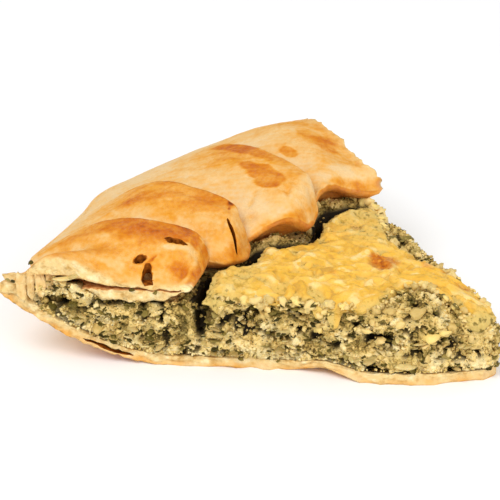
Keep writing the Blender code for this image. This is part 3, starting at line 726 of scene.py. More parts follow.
def closing(v):
    """How open a hollow is, from 1 at the cut to almost 0 at its end."""
    return np.maximum(np.sqrt(np.maximum(1 - np.clip(v, 0, 1) ** 2, 0)), 0.1)


def pocket_waves(r, share, amount, grain, seed):
    return amount * rough(stack(r, share * 60, 0 * r), grain, seed)


def near_pocket(u, v, w):
    r = mix(NEAR_POCKET_START, NEAR_POCKET_END, u)
    share = mix(-0.03, NEAR_POCKET_SHARE, v)
    lower = COVER_HEIGHT + NEAR_POCKET_FLOOR + pocket_waves(r, share, 0.4, 4, 41.0)
    arch = np.sin(math.pi * mix(0.12, 0.88, u)) ** 0.35
    upper = lower + (SKIN_GAP + SKIN_LIFT * smooth(0.35, 1.0, u) * (1 - smooth(0, 0.6, v))) * arch
    upper = upper + NEAR_POCKET_ARCH * smooth(0.15, 0.75, v) * np.sin(math.pi * np.clip(u, 0, 1))
    upper = upper + pocket_waves(r, share, 0.35, 3, 42.0)
    middle = mix(lower, upper, 0.5)
    return place(r, share, middle + (mix(lower, upper, w) - middle) * closing(v))


def far_pocket(u, v, w):
    r = mix(FAR_POCKET_START, FAR_POCKET_END, u)
    share = mix(1.03, FAR_POCKET_SHARE, v)
    arch = np.sin(math.pi * mix(0.08, 0.92, u)) ** 0.7
    lower = COVER_HEIGHT + FAR_POCKET_FLOOR + pocket_waves(r, share, 0.5, 4, 43.0)
    upper = lower + FAR_POCKET_ARCH * arch + pocket_waves(r, share, 0.4, 3, 44.0)
    middle = mix(lower, upper, 0.35)
    return place(r, share, middle + (mix(lower, upper, w) - middle) * closing(v))


def tear_shape(tear):
    """The function that shapes a tear's cutter: a ragged upright slot with pointed ends."""
    def shape(u, v, w):
        along = (u - 0.5) * tear.length
        half = tear.width * np.sin(math.pi * mix(0.06, 0.94, u)) ** 0.8
        ragged = rough(stack(u * 9, v * 3, 0 * u), 1.6, tear.seed)
        across = (v - 0.5) * half + 0.45 * ragged
        dx = along * math.cos(tear.turn) - across * math.sin(tear.turn)
        dy = along * math.sin(tear.turn) + across * math.cos(tear.turn)
        share = math.radians(tear.angle) / SLICE_ANGLE
        return place(tear.radius + dx, share + 0 * u, mix(TEAR_BOTTOM, TEAR_TOP, w), dy)
    return shape


def base_split(u, v, w):
    """The slit where the base's layers have parted at the near cut."""
    r = mix(SPLIT_START, SPLIT_END, u)
    half = SPLIT_HALF_WIDTH * np.sin(math.pi * mix(0.06, 0.94, u))
    z = mix(underside(r), base_top(r), SPLIT_LEVEL) + (w - 0.5) * 2 * half
    return place(r, mix(-0.02, 0.035, v), z + 0.3 * rough_along(r, 2.5, 45.0))


def pleat_slit(u, v, w):
    """The open crease at the end of the second pleat."""
    r = mix(SLIT_START, SLIT_END, u)
    half = SLIT_HALF_WIDTH * np.sin(math.pi * mix(0.08, 0.92, u))
    share = np.radians(mix(SLIT_START_ANGLE, SLIT_END_ANGLE, u)) / SLICE_ANGLE
    return place(r, share, mix(SLIT_BOTTOM, TEAR_TOP, w), (v - 0.5) * 2 * half)


def make_cutters():
    hollow = torn_dough("hollow_dough", (186, 112, 52), (224, 168, 106))
    # Walls of the tears, the slit and the base's split: the baked dough's brown, darkened towards black as
    # painted shade in their depths
    torn_and_shaded = torn_dough("torn_dough", (96, 44, 6), (170, 92, 22))
    cutters = [
        cutter("near_pocket", (60, 14, 4), near_pocket, hollow),
        cutter("far_pocket", (50, 12, 4), far_pocket, hollow),
        cutter("base_split", (20, 4, 2), base_split, torn_and_shaded),
        cutter("pleat_slit", (8, 2, 28), pleat_slit, torn_and_shaded),
    ]
    return cutters + [cutter(tear.name, (14, 3, 24), tear_shape(tear), torn_and_shaded) for tear in TEARS]


def make_crust():
    points, faces, masks = crust_shape()
    crust = new_object("folded_dough", points, faces, dough(), masks)
    cutters = make_cutters()
    for piece in cutters:
        boolean = crust.modifiers.new(piece.name, "BOOLEAN")
        boolean.operation = "DIFFERENCE"
        boolean.solver = "EXACT"
        boolean.material_mode = "TRANSFER"
        boolean.object = piece
    apply_modifiers(crust)
    tint_torn_edges(crust)
    for piece in cutters:
        bpy.data.objects.remove(piece)
    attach(crust, "root")
    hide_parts("pastry_crust")


def tint_torn_edges(piece):
    """Browns the edges that the cutters left, whose points carry no masks of their own."""
    mesh = piece.data
    points = np.empty(3 * len(mesh.vertices), np.float32)
    brown, raw = np.empty(len(mesh.vertices), np.float32), np.empty(len(mesh.vertices), np.float32)
    mesh.vertices.foreach_get("co", points)
    mesh.attributes["brown"].data.foreach_get("value", brown)
    mesh.attributes["raw"].data.foreach_get("value", raw)
    from_middle = points.reshape(-1, 3) / MM - PIE_MIDDLE
    share = np.arctan2(from_middle[:, 1], -from_middle[:, 0]) / SLICE_ANGLE
    new = (brown == 0) & (raw == 0)
    at_cut = (share < 0.012) | (share > 0.98)
    brown[new] = np.where(at_cut[new], 0.35, 0.7)
    raw[new] = np.where(at_cut[new], 0.6, 0.0)
    mesh.attributes["brown"].data.foreach_set("value", brown)
    mesh.attributes["raw"].data.foreach_set("value", raw)


def apply_modifiers(piece):
    """Turns the piece's mesh into what its modifiers make of it."""
    graph = bpy.context.evaluated_depsgraph_get()
    mesh = bpy.data.meshes.new_from_object(piece.evaluated_get(graph))
    piece.modifiers.clear()
    piece.data = mesh


# The filling

FILLING_CUTS = ((0.0, 1.0, NEAR_HOLES, 5.0), (1.0, -1.0, FAR_HOLES, 6.0))


def pits(r, z, seed):
    """1 in the holes between the filling's clumps, where shade is painted, and 0 on the clumps."""
    here = stack(r, 0 * r, 1.3 * z)
    return smooth(0.2, 0.4, rough(here, 3.8, seed + 7) + 0.5 * rough(here, 1.7, seed + 8))


def tone(points, grain=5, seed=46.0):
    """Broad light and dark places of the filling, from about 0 to 1."""
    return 0.55 + 0.75 * rough(points, grain, seed)


def crumble(r, z, seed):
    """Inward depth, cell number and the mask of pits, where shade is painted, of a cut through the crumbly
    filling.
    """
    here = stack(r, 0 * r, 1.3 * z)
    near, lot = cells(here, 2.6, seed)
    fine, fine_lot = cells(here, 1.2, seed + 3)
    broad = rough(here, 6, seed + 5)
    pit_and_shade = pits(r, z, seed)
    depth = 0.8 * (near - 0.35) + 0.9 * (fine - 0.35) - 0.9 * broad + 3.2 * pit_and_shade
    depth = depth + 0.5 * rough(here, 0.9, seed + 9)
    return depth, mix(lot, fine_lot, 0.45), pit_and_shade


def exposed(r, v):
    """1 where the filling's upper face shows: in the crevice by the lip and where cheese is missing."""
    start, end = cheese_span(r)
    bare = smooth(0.0, 0.03, start - v) + smooth(0.0, 0.02, v - end)
    edge = edge_radius(v)
    crevice = smooth(-4.5, -3, r - edge) * smooth(8, 5, r - edge)
    return np.clip(bare + crevice, 0, 1)


def heaped(r, v):
    """How much higher the filling stands under the raised lips and at the far cut."""
    rise = 1.15 * lip_rise(v) + 3.4 * smooth(0.86, 0.96, v)
    return rise * bump((r - edge_radius(v) - 3.8) / 4.4)


def crumble_top(r, v):
    """Downward depth, cell number and the mask of pits, where shade is painted, of the filling's upper face.
    """
    here = flat(r, v)
    near, lot = cells(here, 2.1, 38.0)
    pit_and_shade = smooth(0.15, 0.5, rough(here, 2.6, 39.0))
    return 1.5 * (near - 0.45) + 1.2 * pit_and_shade, lot, pit_and_shade


def filling_grid():
    """The filling's grid: u along the radius, finest by the crevice, v across the slice and w up."""
    us = np.unique(np.concatenate([
        spread(150, 0, COVERED_END),
        spread(16, COVERED_END, GROOVE_END),
        spread(100, GROOVE_END, 1)]).round(6))
    edge = np.array([0, 0.006, 0.014, 0.024, 0.04, 0.06, 0.085, 0.12])
    vs = np.concatenate([edge, spread(86, 0.14, 0.86), 1 - edge[::-1]])
    return box_surface(us, vs, spread(36))


def filling_radius(u, v):
    inner = edge_radius(v) - GROOVE_WIDTH
    outer = edge_radius(v) + 0.5 * GROOVE_WIDTH
    covered = mix(nose(v), inner, u / COVERED_END)
    crevice = mix(inner, outer, (u - COVERED_END) / (GROOVE_END - COVERED_END))
    pinched = mix(outer, FILLING_RADIUS - GAP, (u - GROOVE_END) / (1 - GROOVE_END))
    return np.select([u <= COVERED_END, u <= GROOVE_END], [covered, crevice], pinched)


def crevice_shade(r, v, w):
    """Painted shade deep in the crevice and right below the lip: 1 there and 0 elsewhere."""
    past_lip = r - edge_radius(v)
    inside = smooth(0.2, 1.0, groove(r, v)) + smooth(2.2, 1.2, past_lip) * (past_lip > 0)
    return np.clip(inside * w, 0, 1) * smooth(0.0, 0.02, v)


def filling_shape():
    u, v, w, faces = filling_grid()
    r = filling_radius(u, v)
    z = mix(base_top(r) + GAP, filling_top(r, v), w)
    side = np.zeros(len(r))
    lot = np.full(len(r), 0.5)
    pit_and_shade = np.zeros(len(r))
    for cut, way, holes, seed in FILLING_CUTS:
        away = np.abs(v - cut) * SLICE_ANGLE * r
        side = side + way * hole_depth(holes, r, z) * np.clip(1 - away / HOLE_REACH, 0, 1) ** 2
        face = v == cut
        depth, lot[face], cut_pits = crumble(r[face], z[face], seed)
        side[face] += way * depth
        # Painted shade: the pits and the holes in the cuts are darkened
        pit_and_shade[face] = np.maximum(cut_pits, smooth(1.2, 2.6, hole_depth(holes, r[face], z[face])))
    inner = (v > 0) & (v < 1)
    tip = (u == 0) & inner
    depth, lot[tip], pit_and_shade[tip] = crumble(v[tip] * 8, z[tip], 8.0)
    r[tip] += np.clip(depth, -1.5, 1.5)
    heap = heaped(r, v) * (w == 1)
    on_heap = smooth(0.5, 2, heap)
    top = (w == 1) & inner & (exposed(r, v) > 0)
    depth, lot[top], pit_and_shade[top] = crumble_top(r[top], v[top])
    z[top] -= depth * exposed(r[top], v[top]) * (1 - 0.5 * on_heap[top])
    points = place(r, v, z + heap, side)
    lot = tone(points) + 0.35 * (lot - 0.5) + 0.4 * smooth(0.45, 0.0, w) - 0.3 * on_heap
    # Painted shade in the pits and deep in the crevice, less on the heaps and near the base
    pit_and_shade = np.maximum(pit_and_shade * (1 - 0.7 * on_heap), crevice_shade(r, v, w)) * (1 - 0.3 * smooth(0.4, 0.1, w))
    return points, facing_out(points, faces), {"lot": lot, "pit_and_shade": pit_and_shade}


def make_filling():
    points, faces, masks = filling_shape()
    filling = new_object("chopped_filling", points, faces, filling_material("filling"), masks)
    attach(filling, "root")
    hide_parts("spinach_filling")


# Chopped bits: each object joins many copies of a few uneven lumps

def lumps(count, roundness, seed, subdivisions=2):
    """Points of some uneven lumps about 1 across, and the triangles that they share."""
    ball = bmesh.new()
    bmesh.ops.create_icosphere(ball, subdivisions=subdivisions, radius=0.5)
    points = np.array([v.co[:] for v in ball.verts])
    faces = np.array([[v.index for v in f.verts] for f in ball.faces])
    ball.free()
    shapes = []
    for i in range(count):
        uneven = 0.9 * rough(points, 0.42, seed + i) + 0.5 * rough(points, 0.2, seed + i)
        swell = 1 + (1 - roundness) * uneven
        shapes.append(points * swell[:, None])
    return np.array(shapes), faces


def random_turns(rng, count, tilt=math.pi):
    """Rotation matrices: a free turn about Z, after a tilt of up to the given angle about a random axis."""
    spin = rng.uniform(0, 2 * math.pi, count)
    axis = rng.uniform(0, 2 * math.pi, count)
    lean = rng.uniform(-tilt, tilt, count)
    turns = []
    for a, b, c in zip(spin, axis, lean):
        about = Vector((math.cos(b), math.sin(b), 0))
        turns.append(np.array(Matrix.Rotation(c, 3, about) @ Matrix.Rotation(a, 3, "Z")))
    return np.array(turns)


def add_bits(name, kinds, rng, middles, sizes, turns, material, masks):
    """One object of many bits: each a random kind of lump, scaled by its three sizes, turned and moved."""
    shapes, faces = kinds
    chosen = shapes[rng.integers(0, len(shapes), len(middles))]
    points = np.einsum("nij,nkj->nki", turns, chosen * sizes[:, None, :]) + middles[:, None, :]
    per_bit = shapes.shape[1]
    all_faces = (faces[None] + per_bit * np.arange(len(middles))[:, None, None]).reshape(-1, 3)
    spread_masks = {mask: np.repeat(values, per_bit) for mask, values in masks.items()}
    bits = new_object(name, points.reshape(-1, 3), all_faces, material, spread_masks)
    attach(bits, "root")


def on_top(rng, count, depth=(-0.2, 0.9)):
    """Random places on the filling's upper face where it shows, few of them in the crevice."""
    v = rng.random(count)
    r = np.sqrt(rng.uniform(0.0, 1.0, count)) * 86
    away = r - edge_radius(v)
    keep = (exposed(r, v) > 0.6) & (away < 5) & (r > 6) & (v > 0.01) & (v < 0.99)
    keep = keep & ((away < -3.4) | (rng.random(count) < np.where(away > 1.6, 0.5, 0.06)))
    r, v = r[keep], v[keep]
    return place(r, v, filling_top(r, v) + heaped(r, v) - rng.uniform(*depth, len(r)))


def on_cuts(rng, count, low=0.03, high=0.97, depth=(-0.3, 1.2)):
    """Random places on both cuts through the filling, with their radii and how high up in it each is."""
    far = rng.random(count) < 0.5
    r = rng.uniform(8, 122, count)
    up = rng.uniform(low, high, count)
    v = far.astype(float)
    heap = 3.0 * bump((r - 117) / 7) * (1 - far)
    z = mix(base_top(r) + 0.3, filling_top(r, v) + heap, up)
    keep = (z - base_top(r) > 0.5) & (groove(r, v) < 1.5)
    r, z, v, far, up = (values[keep] for values in (r, z, v, far, up))
    near_seed, far_seed = (cut[3] for cut in FILLING_CUTS)
    pit_and_shade = np.where(far, pits(r, z, far_seed), pits(r, z, near_seed))
    keep = rng.random(len(r)) > 0.8 * pit_and_shade
    r, z, v, far, up = (values[keep] for values in (r, z, v, far, up))
    inward = rng.uniform(*depth, len(r))
    inward += np.where(far, hole_depth(FAR_HOLES, r, z), hole_depth(NEAR_HOLES, r, z))
    return place(r, v, z, np.where(far, -inward, inward)), r, up


def sizes_of(rng, count, low, high, stretch=(1.0, 1.0, 1.0), power=1.6):
    """Random sizes along three axes; a higher power makes more of them small."""
    scale = low + (high - low) * rng.random(count) ** power
    uneven = rng.uniform(0.75, 1.25, (count, 3))
    return scale[:, None] * uneven * np.array(stretch)


def on_near_cut(places, inward):
    """Points on the near cut at the given radii and heights."""
    r, z = np.array([spot[:2] for spot in places]).T
    return place(r, np.zeros(len(r)), z, inward)


def at_nose(rng, count):
    """Random places on the rounded tip."""
    v = rng.random(count)
    r = nose(v)
    z = mix(base_top(r), filling_top(r, v), rng.random(count))
    return place(r + rng.uniform(-0.2, 0.9, count), v, z)


def lip_shade(points):
    """Painted shade for bits deep in the crevice by the lip: 1 there and 0 elsewhere."""
    x, y = (points - PIE_MIDDLE)[:, :2].T
    r, v = np.hypot(x, y), np.arctan2(y, -x) / SLICE_ANGLE
    inside = (v > 0.02) & (v < 0.98)
    v = np.clip(v, 0, 1)
    away = r - edge_radius(v)
    raised = smooth(1, 3, away) * (heaped(r, v) > 1)
    return inside * smooth(-3.5, -2.5, away) * (1 - 0.8 * raised)


def crumb_masks(rng, middles, low, high):
    # Bits deep in the crevice by the lip are darkened as painted shade
    lot = tone(middles) + rng.uniform(low, high, len(middles)) - 0.5 * lip_shade(middles)
    return {"lot": lot, "pit_and_shade": np.zeros(len(middles))}


def make_crumbs():
    rng = np.random.default_rng(11)
    middles = np.concatenate([
        on_cuts(rng, 1500, depth=(0.1, 1.3))[0],
        on_top(rng, 2400),
        at_nose(rng, 60)])
    sizes = sizes_of(rng, len(middles), 0.8, 2.4, power=2.4)
    turns = random_turns(rng, len(middles))
    masks = crumb_masks(rng, middles, -0.2, 0.2)
    kinds = lumps(16, 0.0, 61.0)
    add_bits("filling_crumbs", kinds, rng, middles, sizes, turns, filling_material("crumbs"), masks)


def make_fine_crumbs():
    rng = np.random.default_rng(12)
    middles = np.concatenate([
        on_cuts(rng, 3000, low=-0.06, high=1.02, depth=(-0.4, 0.6))[0],
        on_cuts(rng, 1500, low=-0.06, high=0.06, depth=(-0.4, 0.5))[0],
        on_top(rng, 7000, depth=(-0.6, 0.4)),
        at_nose(rng, 200)])
    sizes = sizes_of(rng, len(middles), 0.35, 1.1)
    turns = random_turns(rng, len(middles))
    masks = crumb_masks(rng, middles, -0.3, 0.25)
    kinds = lumps(10, 0.2, 70.0, subdivisions=1)
    add_bits("fine_crumbs", kinds, rng, middles, sizes, turns, filling_material("fine"), masks)


# Large lumps of cheese on the near cut: radius, height and size
STRAY_CHEESE = (
    (18.2, 13.0, 5.2), (14.9, 14.2, 4.0), (21.6, 19.6, 4.6),
    (34.3, 14.4, 3.2), (33.0, 16.6, 3.0), (25.7, 16.5, 4.2),
    (28.4, 19.8, 3.2), (30.7, 11.7, 3.0), (9.3, 12.4, 3.4),
    (38.0, 17.6, 3.0), (50.0, 18.0, 2.4), (61.0, 17.6, 2.6),
)


def make_cheese_crumbs():
    rng = np.random.default_rng(13)
    middles, r, up = on_cuts(rng, 560, low=0.2, high=1.0, depth=(-0.1, 1.0))
    chance = mix(1.0, 0.25, smooth(30, 70, r)) * mix(0.4, 1.0, up)
    middles = middles[rng.random(len(r)) < chance]
    edge = cheese_edge(rng, 300, depth=(-0.3, 0.9))
    middles = np.concatenate([on_near_cut(STRAY_CHEESE, 0.5), middles, edge])
    sizes = sizes_of(rng, len(middles), 0.7, 2.9, (1.3, 1.0, 0.8), power=3.0)
    stray = len(STRAY_CHEESE)
    sizes[:stray] = [(size, 0.7 * size, 0.6 * size) for _, _, size in STRAY_CHEESE]
    turns = random_turns(rng, len(middles))
    turns[:stray] = random_turns(rng, stray, tilt=0.4)
    masks = {"lot": rng.random(len(middles))}
    add_bits("cheese_crumbs", lumps(10, 0.0, 81.0), rng, middles, sizes, turns, cheese_crumb(), masks)


def cheese_edge(rng, count, depth):
    """Random places along the cheese's broken edges."""
    far = rng.random(count) < 0.5
    r = rng.uniform(8, 76, count)
    start, end = cheese_span(r)
    v = np.where(far, end - 0.004, start + 0.004)
    z = top_height(r, v) - rng.uniform(0.0, CHEESE_THICKNESS, count)
    inward = rng.uniform(*depth, count)
    return place(r, v, z, np.where(far, -inward, inward))


# Bits of leaf that lie apart on the near cut: radius and height
STRAY_LEAVES = (
    (122.8, 29.0), (129, 23.6), (127.5, 23.2), (97, 22.0), (91, 21.6), (68, 2.7), (58, 2.6), (4.5, 3.2),
)


def make_leaves():
    rng = np.random.default_rng(14)
    middles = np.concatenate([
        on_near_cut(STRAY_LEAVES, -0.1),
        on_cuts(rng, 1500, depth=(-0.2, 0.8))[0],
        on_top(rng, 1200, depth=(-0.6, 0.3)),
        cheese_edge(rng, 120, depth=(-0.5, 0.4)),
        at_nose(rng, 40)])
    sizes = sizes_of(rng, len(middles), 0.7, 2.4, (1.2, 0.9, 0.25), power=2.2)
    sizes[:len(STRAY_LEAVES)] = (1.7, 1.1, 0.5)
    turns = random_turns(rng, len(middles), tilt=0.9)
    masks = {"lot": rng.random(len(middles))}
    add_bits("spinach_leaves", lumps(10, 0.3, 91.0), rng, middles, sizes, turns, leaf(), masks)


# Large slivers of onion on the near cut: radius and height
STRAY_ONION = ((114.5, 24.6), (112, 25.4), (86, 7.0), (70, 4.6), (57, 6.2), (33, 6.5), (24, 5.2))


def make_onion():
    rng = np.random.default_rng(15)
    shapes, faces = lumps(8, 0.75, 101.0)
    shapes[..., 2] += shapes[..., 0] ** 2 * 0.8
    middles = on_cuts(rng, 190, low=0.02, high=0.6, depth=(-0.2, 0.5))[0]
    middles = np.concatenate([on_near_cut(STRAY_ONION, -0.2), middles])
    sizes = sizes_of(rng, len(middles), 2.0, 6.0, (1.0, 0.34, 0.18), power=1.8)
    sizes[:len(STRAY_ONION)] = (6.0, 2.6, 1.2)
    turns = random_turns(rng, len(middles), tilt=0.5)
    masks = {"lot": rng.random(len(middles))}
    add_bits("onion_slivers", (shapes, faces), rng, middles, sizes, turns, onion(), masks)


# Torn flakes of dough by the near cut: radius, angle in degrees, height, length, width, lean and turn
Flake = namedtuple("Flake", "radius angle height length width lean turn")
FLAKE_THICKNESS = 0.5
FLAKES = (
    Flake(125.5, -0.2, 22.0, 3.0, 6.5, 1.35, 0.5),
    Flake(123.2, -0.1, 22.6, 2.6, 7.0, 1.50, 0.7),
    Flake(120.8, 0.1, 23.0, 2.8, 7.5, 1.30, 0.4),
    Flake(118.4, 0.5, 23.8, 3.4, 6.0, 1.45, 0.9),
    Flake(129.0, 1.0, 23.4, 5.0, 3.0, 0.3, 0.3),
)


def make_flakes():
    rng = np.random.default_rng(16)
    shapes, faces = lumps(6, 0.35, 111.0, subdivisions=3)
    shapes[..., 2] += 0.7 * shapes[..., 0] ** 2 / 0.16
    r, angle, z = np.array([(flake.radius, flake.angle, flake.height) for flake in FLAKES]).T
    middles = place(r, np.radians(angle) / SLICE_ANGLE, z)
    sizes = np.array([(flake.length, flake.width, FLAKE_THICKNESS) for flake in FLAKES])
    turns = [Matrix.Rotation(flake.turn, 3, "Z") @ Matrix.Rotation(flake.lean, 3, "X") for flake in FLAKES]
    masks = {"brown": np.full(len(FLAKES), 0.12), "raw": np.full(len(FLAKES), 0.7)}
    add_bits("dough_flakes", (shapes, faces), rng, middles, sizes, np.array(turns),
             bpy.data.materials["dough"], masks)


# The baked cheese on top

Spot = namedtuple("Spot", "radius angle size strength")
BROWN_SPOTS = (
    Spot(39, 36.0, 5.0, 1.0),
    Spot(36, 32.0, 3.0, 0.85),
    Spot(43, 55.5, 2.2, 0.9),
    Spot(30, 50.0, 2.0, 0.5),
    Spot(16, 50.0, 2.6, 0.7),
    Spot(24, 54.0, 2.0, 0.5),
    Spot(60, 48.0, 2.6, 0.4),
    Spot(47, 18.0, 1.6, 0.4),
)


# Melted cheese that has run down the near cut
Drip = namedtuple("Drip", "radius half_width length")
DRIPS = (
    Drip(43, 2.6, 4.6),
    Drip(47, 3.0, 2.2),
    Drip(74, 2.4, 2.2),
    Drip(8, 5.0, 2.4),
)


def shred_field(x, y, seed, count):
    """Height from 0 to 1 of melted shreds strewn over the plane, and a random number for the top one."""
    rng = np.random.default_rng(seed)
    height = np.zeros(len(x))
    lot = np.full(len(x), 0.5)
    low_x, high_x, low_y, high_y = x.min(), x.max(), y.min(), y.max()
    for _ in range(count):
        cx, cy = rng.uniform(low_x, high_x), rng.uniform(low_y, high_y)
        angle = rng.normal(0.5, 0.7)
        half_length, half_width = rng.uniform(1.6, 6.0), rng.uniform(0.9, 1.9)
        bend = rng.uniform(-0.05, 0.05)
        number, level = rng.random(), rng.uniform(0.5, 1.0)
        along = (x - cx) * math.cos(angle) + (y - cy) * math.sin(angle)
        across = -(x - cx) * math.sin(angle) + (y - cy) * math.cos(angle) + bend * along**2
        past = np.maximum(np.abs(along) - half_length, 0)
        distance = np.hypot(past, across) / half_width
        here = level * np.clip(1 - distance**2, 0, 1) ** 0.6
        lot = np.where(here > height, number, lot)
        height = np.maximum(height, here)
    return height, lot


def drip_length(r):
    """How far the cheese has run down the near cut."""
    drips = sum(drip.length * bump((r - drip.radius) / drip.half_width) for drip in DRIPS)
    return drips + 1.4 * np.maximum(rough_along(r, 4, 47.0), 0)


def cheese_masks(r, v, here, edge, shreds):
    """How browned each place is, and how thin, so that the filling shows through."""
    brown = np.zeros(len(r))
    wobble = 0.5 * rough(here, 3, 33.0)
    for spot in BROWN_SPOTS:
        angle = math.radians(spot.angle)
        away = here[:, :2] - spot.radius * np.array([math.cos(angle), math.sin(angle)])
        distance = np.hypot(*away.T) / spot.size
        brown = np.maximum(brown, spot.strength * (1 - smooth(0.3, 1.1, distance + wobble)))
    at_back = smooth(0.35, 0.9, v) * smooth(30, 60, r)
    at_tip = smooth(40, 20, r)
    by_pleats = smooth(60, 70, r) * (1 - smooth(0.18, 0.32, v))
    thin = smooth(0.5, 0.05, shreds) * 0.8 + 0.55 * at_back + 0.5 * rough(here, 9, 34.0)
    thin = thin + at_tip * (0.15 + 0.9 * rough(here, 3.5, 49.0))
    thin = thin + 0.5 * bump((cheese_span(r)[1] - v) / 0.16) * (0.5 + rough(here, 3, 50.0))
    thin = thin + 0.7 * (1 - smooth(0, 0.05, edge)) + 0.6 * by_pleats - 0.2
    return brown, np.clip(thin, 0, 1)


def cheese_top(r, v, here, edge):
    """Height of the upper face with its shreds and plates, the shreds' height and the masks' lot."""
    warp = 1.6 * rough(here, 6, 25.0)
    shreds, shred_lot = shred_field(here[:, 0] + warp, here[:, 1] - warp, 26, 380)
    near_plate, plate_lot = cells(here + stack(0.5 * warp, -0.5 * warp, 0.0), 3.0, 51.0)
    relief = 0.7 * rough(here, 8, 9.0) + 0.35 * rough(here, 2.4, 27.0)
    relief = relief + 0.7 * (plate_lot - 0.5) * smooth(0.75, 0.45, near_plate)
    fine = 0.16 * rough(here, 0.9, 28.0) + 0.1 * rough(here, 0.5, 52.0)
    rounding = CHEESE_ROUNDING * (1 - smooth(0, 0.04, edge))
    top = top_height(r, v) + relief + 1.3 * (shreds - 0.55) + fine - rounding
    return top, shreds, mix(shred_lot, plate_lot, 0.35)


def cheese_shape():
    """Points, faces and masks of the cheese: u runs along the radius, v across the slice and w up."""
    vs = np.concatenate([spread(8, 0, 0.02)[:-1], spread(150, 0.02, 0.98)[:-1], spread(8, 0.98, 1)])
    u, v, w, faces = box_surface(spread(170), vs, spread(6))
    ragged = 1.5 * rough_along(v * 90, 8, 8.0) + 0.6 * rough_along(v * 90, 2.5, 24.0)
    r = mix(nose(v) + 0.5, edge_radius(v) - GROOVE_WIDTH + ragged, u)
    start, end = cheese_span(r)
    v = mix(start, end, v)
    here = flat(r, v)
    edge = np.minimum(np.minimum(u, 1 - u), np.minimum(v - start, end - v))
    top, shreds, lot = cheese_top(r, v, here, edge)
    bottom = np.minimum(filling_top(r, v) + groove(r, v), top_height(r, v) - CHEESE_THICKNESS) + CHEESE_GAP
    drips = drip_length(r)
    at_near = np.exp(-(v - start) * SLICE_ANGLE * r / 0.5) * (start < 0.02)
    bottom = bottom - drips * at_near
    z = mix(bottom, np.maximum(top, bottom + 0.5), w)
    side = np.zeros(len(r))
    for cut, way in ((start, 1.0), (end, -1.0)):
        at_cut = np.exp(-np.abs(v - cut) * SLICE_ANGLE * r / 0.8)
        bits = 1.6 * rough(here + stack(0.0, 0.0, 1.4 * z), 4, 29.0)
        bits = bits + 0.8 * rough(here + stack(0.0, 0.0, z), 1.5, 32.0)
        side = side + way * (bits + 0.7) * at_cut
    side = side - 1.5 * at_near * np.clip(drips / 2, 0, 1)
    points = place(r, v, z, side)
    brown, thin = cheese_masks(r, v, here, edge, shreds)
    return points, facing_out(points, faces), {"lot": lot, "brown": brown * (w > 0), "thin": thin}


def make_cheese():
    points, faces, masks = cheese_shape()
    cheese = new_object("melted_cheese", points, faces, melted_cheese(), masks)
    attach(cheese, "root")
    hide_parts("cheese_topping")


# Materials

def linear(red, green, blue):
    """An 8-bit screen colour as the shader's linear colour."""
    parts = [c / 255 for c in (red, green, blue)]
    return (*[c / 12.92 if c <= 0.04045 else ((c + 0.055) / 1.055) ** 2.4 for c in parts], 1.0)


class Shader:
    """A Principled material and short calls that add nodes to it."""

    def __init__(self, name, roughness, subsurface=0.0, radius=1.0, specular=0.35):
        self.material = bpy.data.materials.new(name)
        self.material.use_nodes = True
        self.tree = self.material.node_tree
        self.shader = self.tree.nodes["Principled BSDF"]
        self.shader.inputs["Roughness"].default_value = roughness
        self.shader.inputs["Specular IOR Level"].default_value = specular
        self.shader.inputs["Subsurface Weight"].default_value = subsurface
        self.shader.inputs["Subsurface Radius"].default_value = (1.0, 0.6, 0.3)
        self.shader.inputs["Subsurface Scale"].default_value = radius * MM
        self.place = self.tree.nodes.new("ShaderNodeTexCoord").outputs["Object"]

    def link(self, a, b):
        self.tree.links.new(a, b)

    def mask(self, name):
        node = self.tree.nodes.new("ShaderNodeAttribute")
        node.attribute_name = name
        return node.outputs["Fac"]

    def grain(self, size, detail=4.0, distortion=0.0):
        """Noise from 0 to 1 whose bumps are about size across."""
        node = self.tree.nodes.new("ShaderNodeTexNoise")
        node.inputs["Scale"].default_value = 1 / (size * MM)
        node.inputs["Detail"].default_value = detail
        node.inputs["Distortion"].default_value = distortion
        self.link(self.place, node.inputs["Vector"])
        return node.outputs["Fac"]

    def math(self, operation, a, b):
        node = self.tree.nodes.new("ShaderNodeMath")
        node.operation = operation
        for value, socket in zip((a, b), node.inputs):
            if isinstance(value, (int, float)):
                socket.default_value = value
            else:
                self.link(value, socket)
        return node.outputs[0]

    def ramp(self, value, *stops, mode="EASE"):
        """A colour ramp: stops are (position, (red, green, blue) in 8-bit screen colours)."""
        node = self.tree.nodes.new("ShaderNodeValToRGB")
        node.color_ramp.interpolation = mode
        elements = node.color_ramp.elements
        while len(elements) < len(stops):
            elements.new(0.5)
        for element, (position, colour) in zip(elements, stops):
            element.position = position
            element.color = linear(*colour)
        self.link(value, node.inputs[0])
        return node.outputs[0]

    def level(self, value, low, high, out_low=0.0, out_high=1.0):
        """value from low to high mapped to out_low to out_high, and clamped."""
        node = self.tree.nodes.new("ShaderNodeMapRange")
        for socket, number in zip(node.inputs[1:5], (low, high, out_low, out_high)):
            socket.default_value = number
        self.link(value, node.inputs[0])
        return node.outputs[0]

    def blend(self, factor, a, b):
        """Colour a where the factor is 0, turning into colour b where it is 1."""
        node = self.tree.nodes.new("ShaderNodeMix")
        node.data_type = "RGBA"
        for value, socket in ((factor, node.inputs[0]), (a, node.inputs[6]), (b, node.inputs[7])):
            if isinstance(value, (int, float, tuple)):
                socket.default_value = value
            else:
                self.link(value, socket)
        return node.outputs[2]

    def bump(self, height, distance, strength=1.0):
        node = self.tree.nodes.new("ShaderNodeBump")
        node.inputs["Strength"].default_value = strength
        node.inputs["Distance"].default_value = distance * MM
        self.link(height, node.inputs["Height"])
        self.link(node.outputs[0], self.shader.inputs["Normal"])

    def varied(self, mask, size, detail, amount):
        """The mask's value, raised and lowered by up to amount by noise."""
        change = self.level(self.grain(size, detail), 0.3, 0.7, -amount, amount)
        return self.math("ADD", self.mask(mask), change)

    def finish(self, colour):
        self.link(colour, self.shader.inputs["Base Color"])
        return self.material


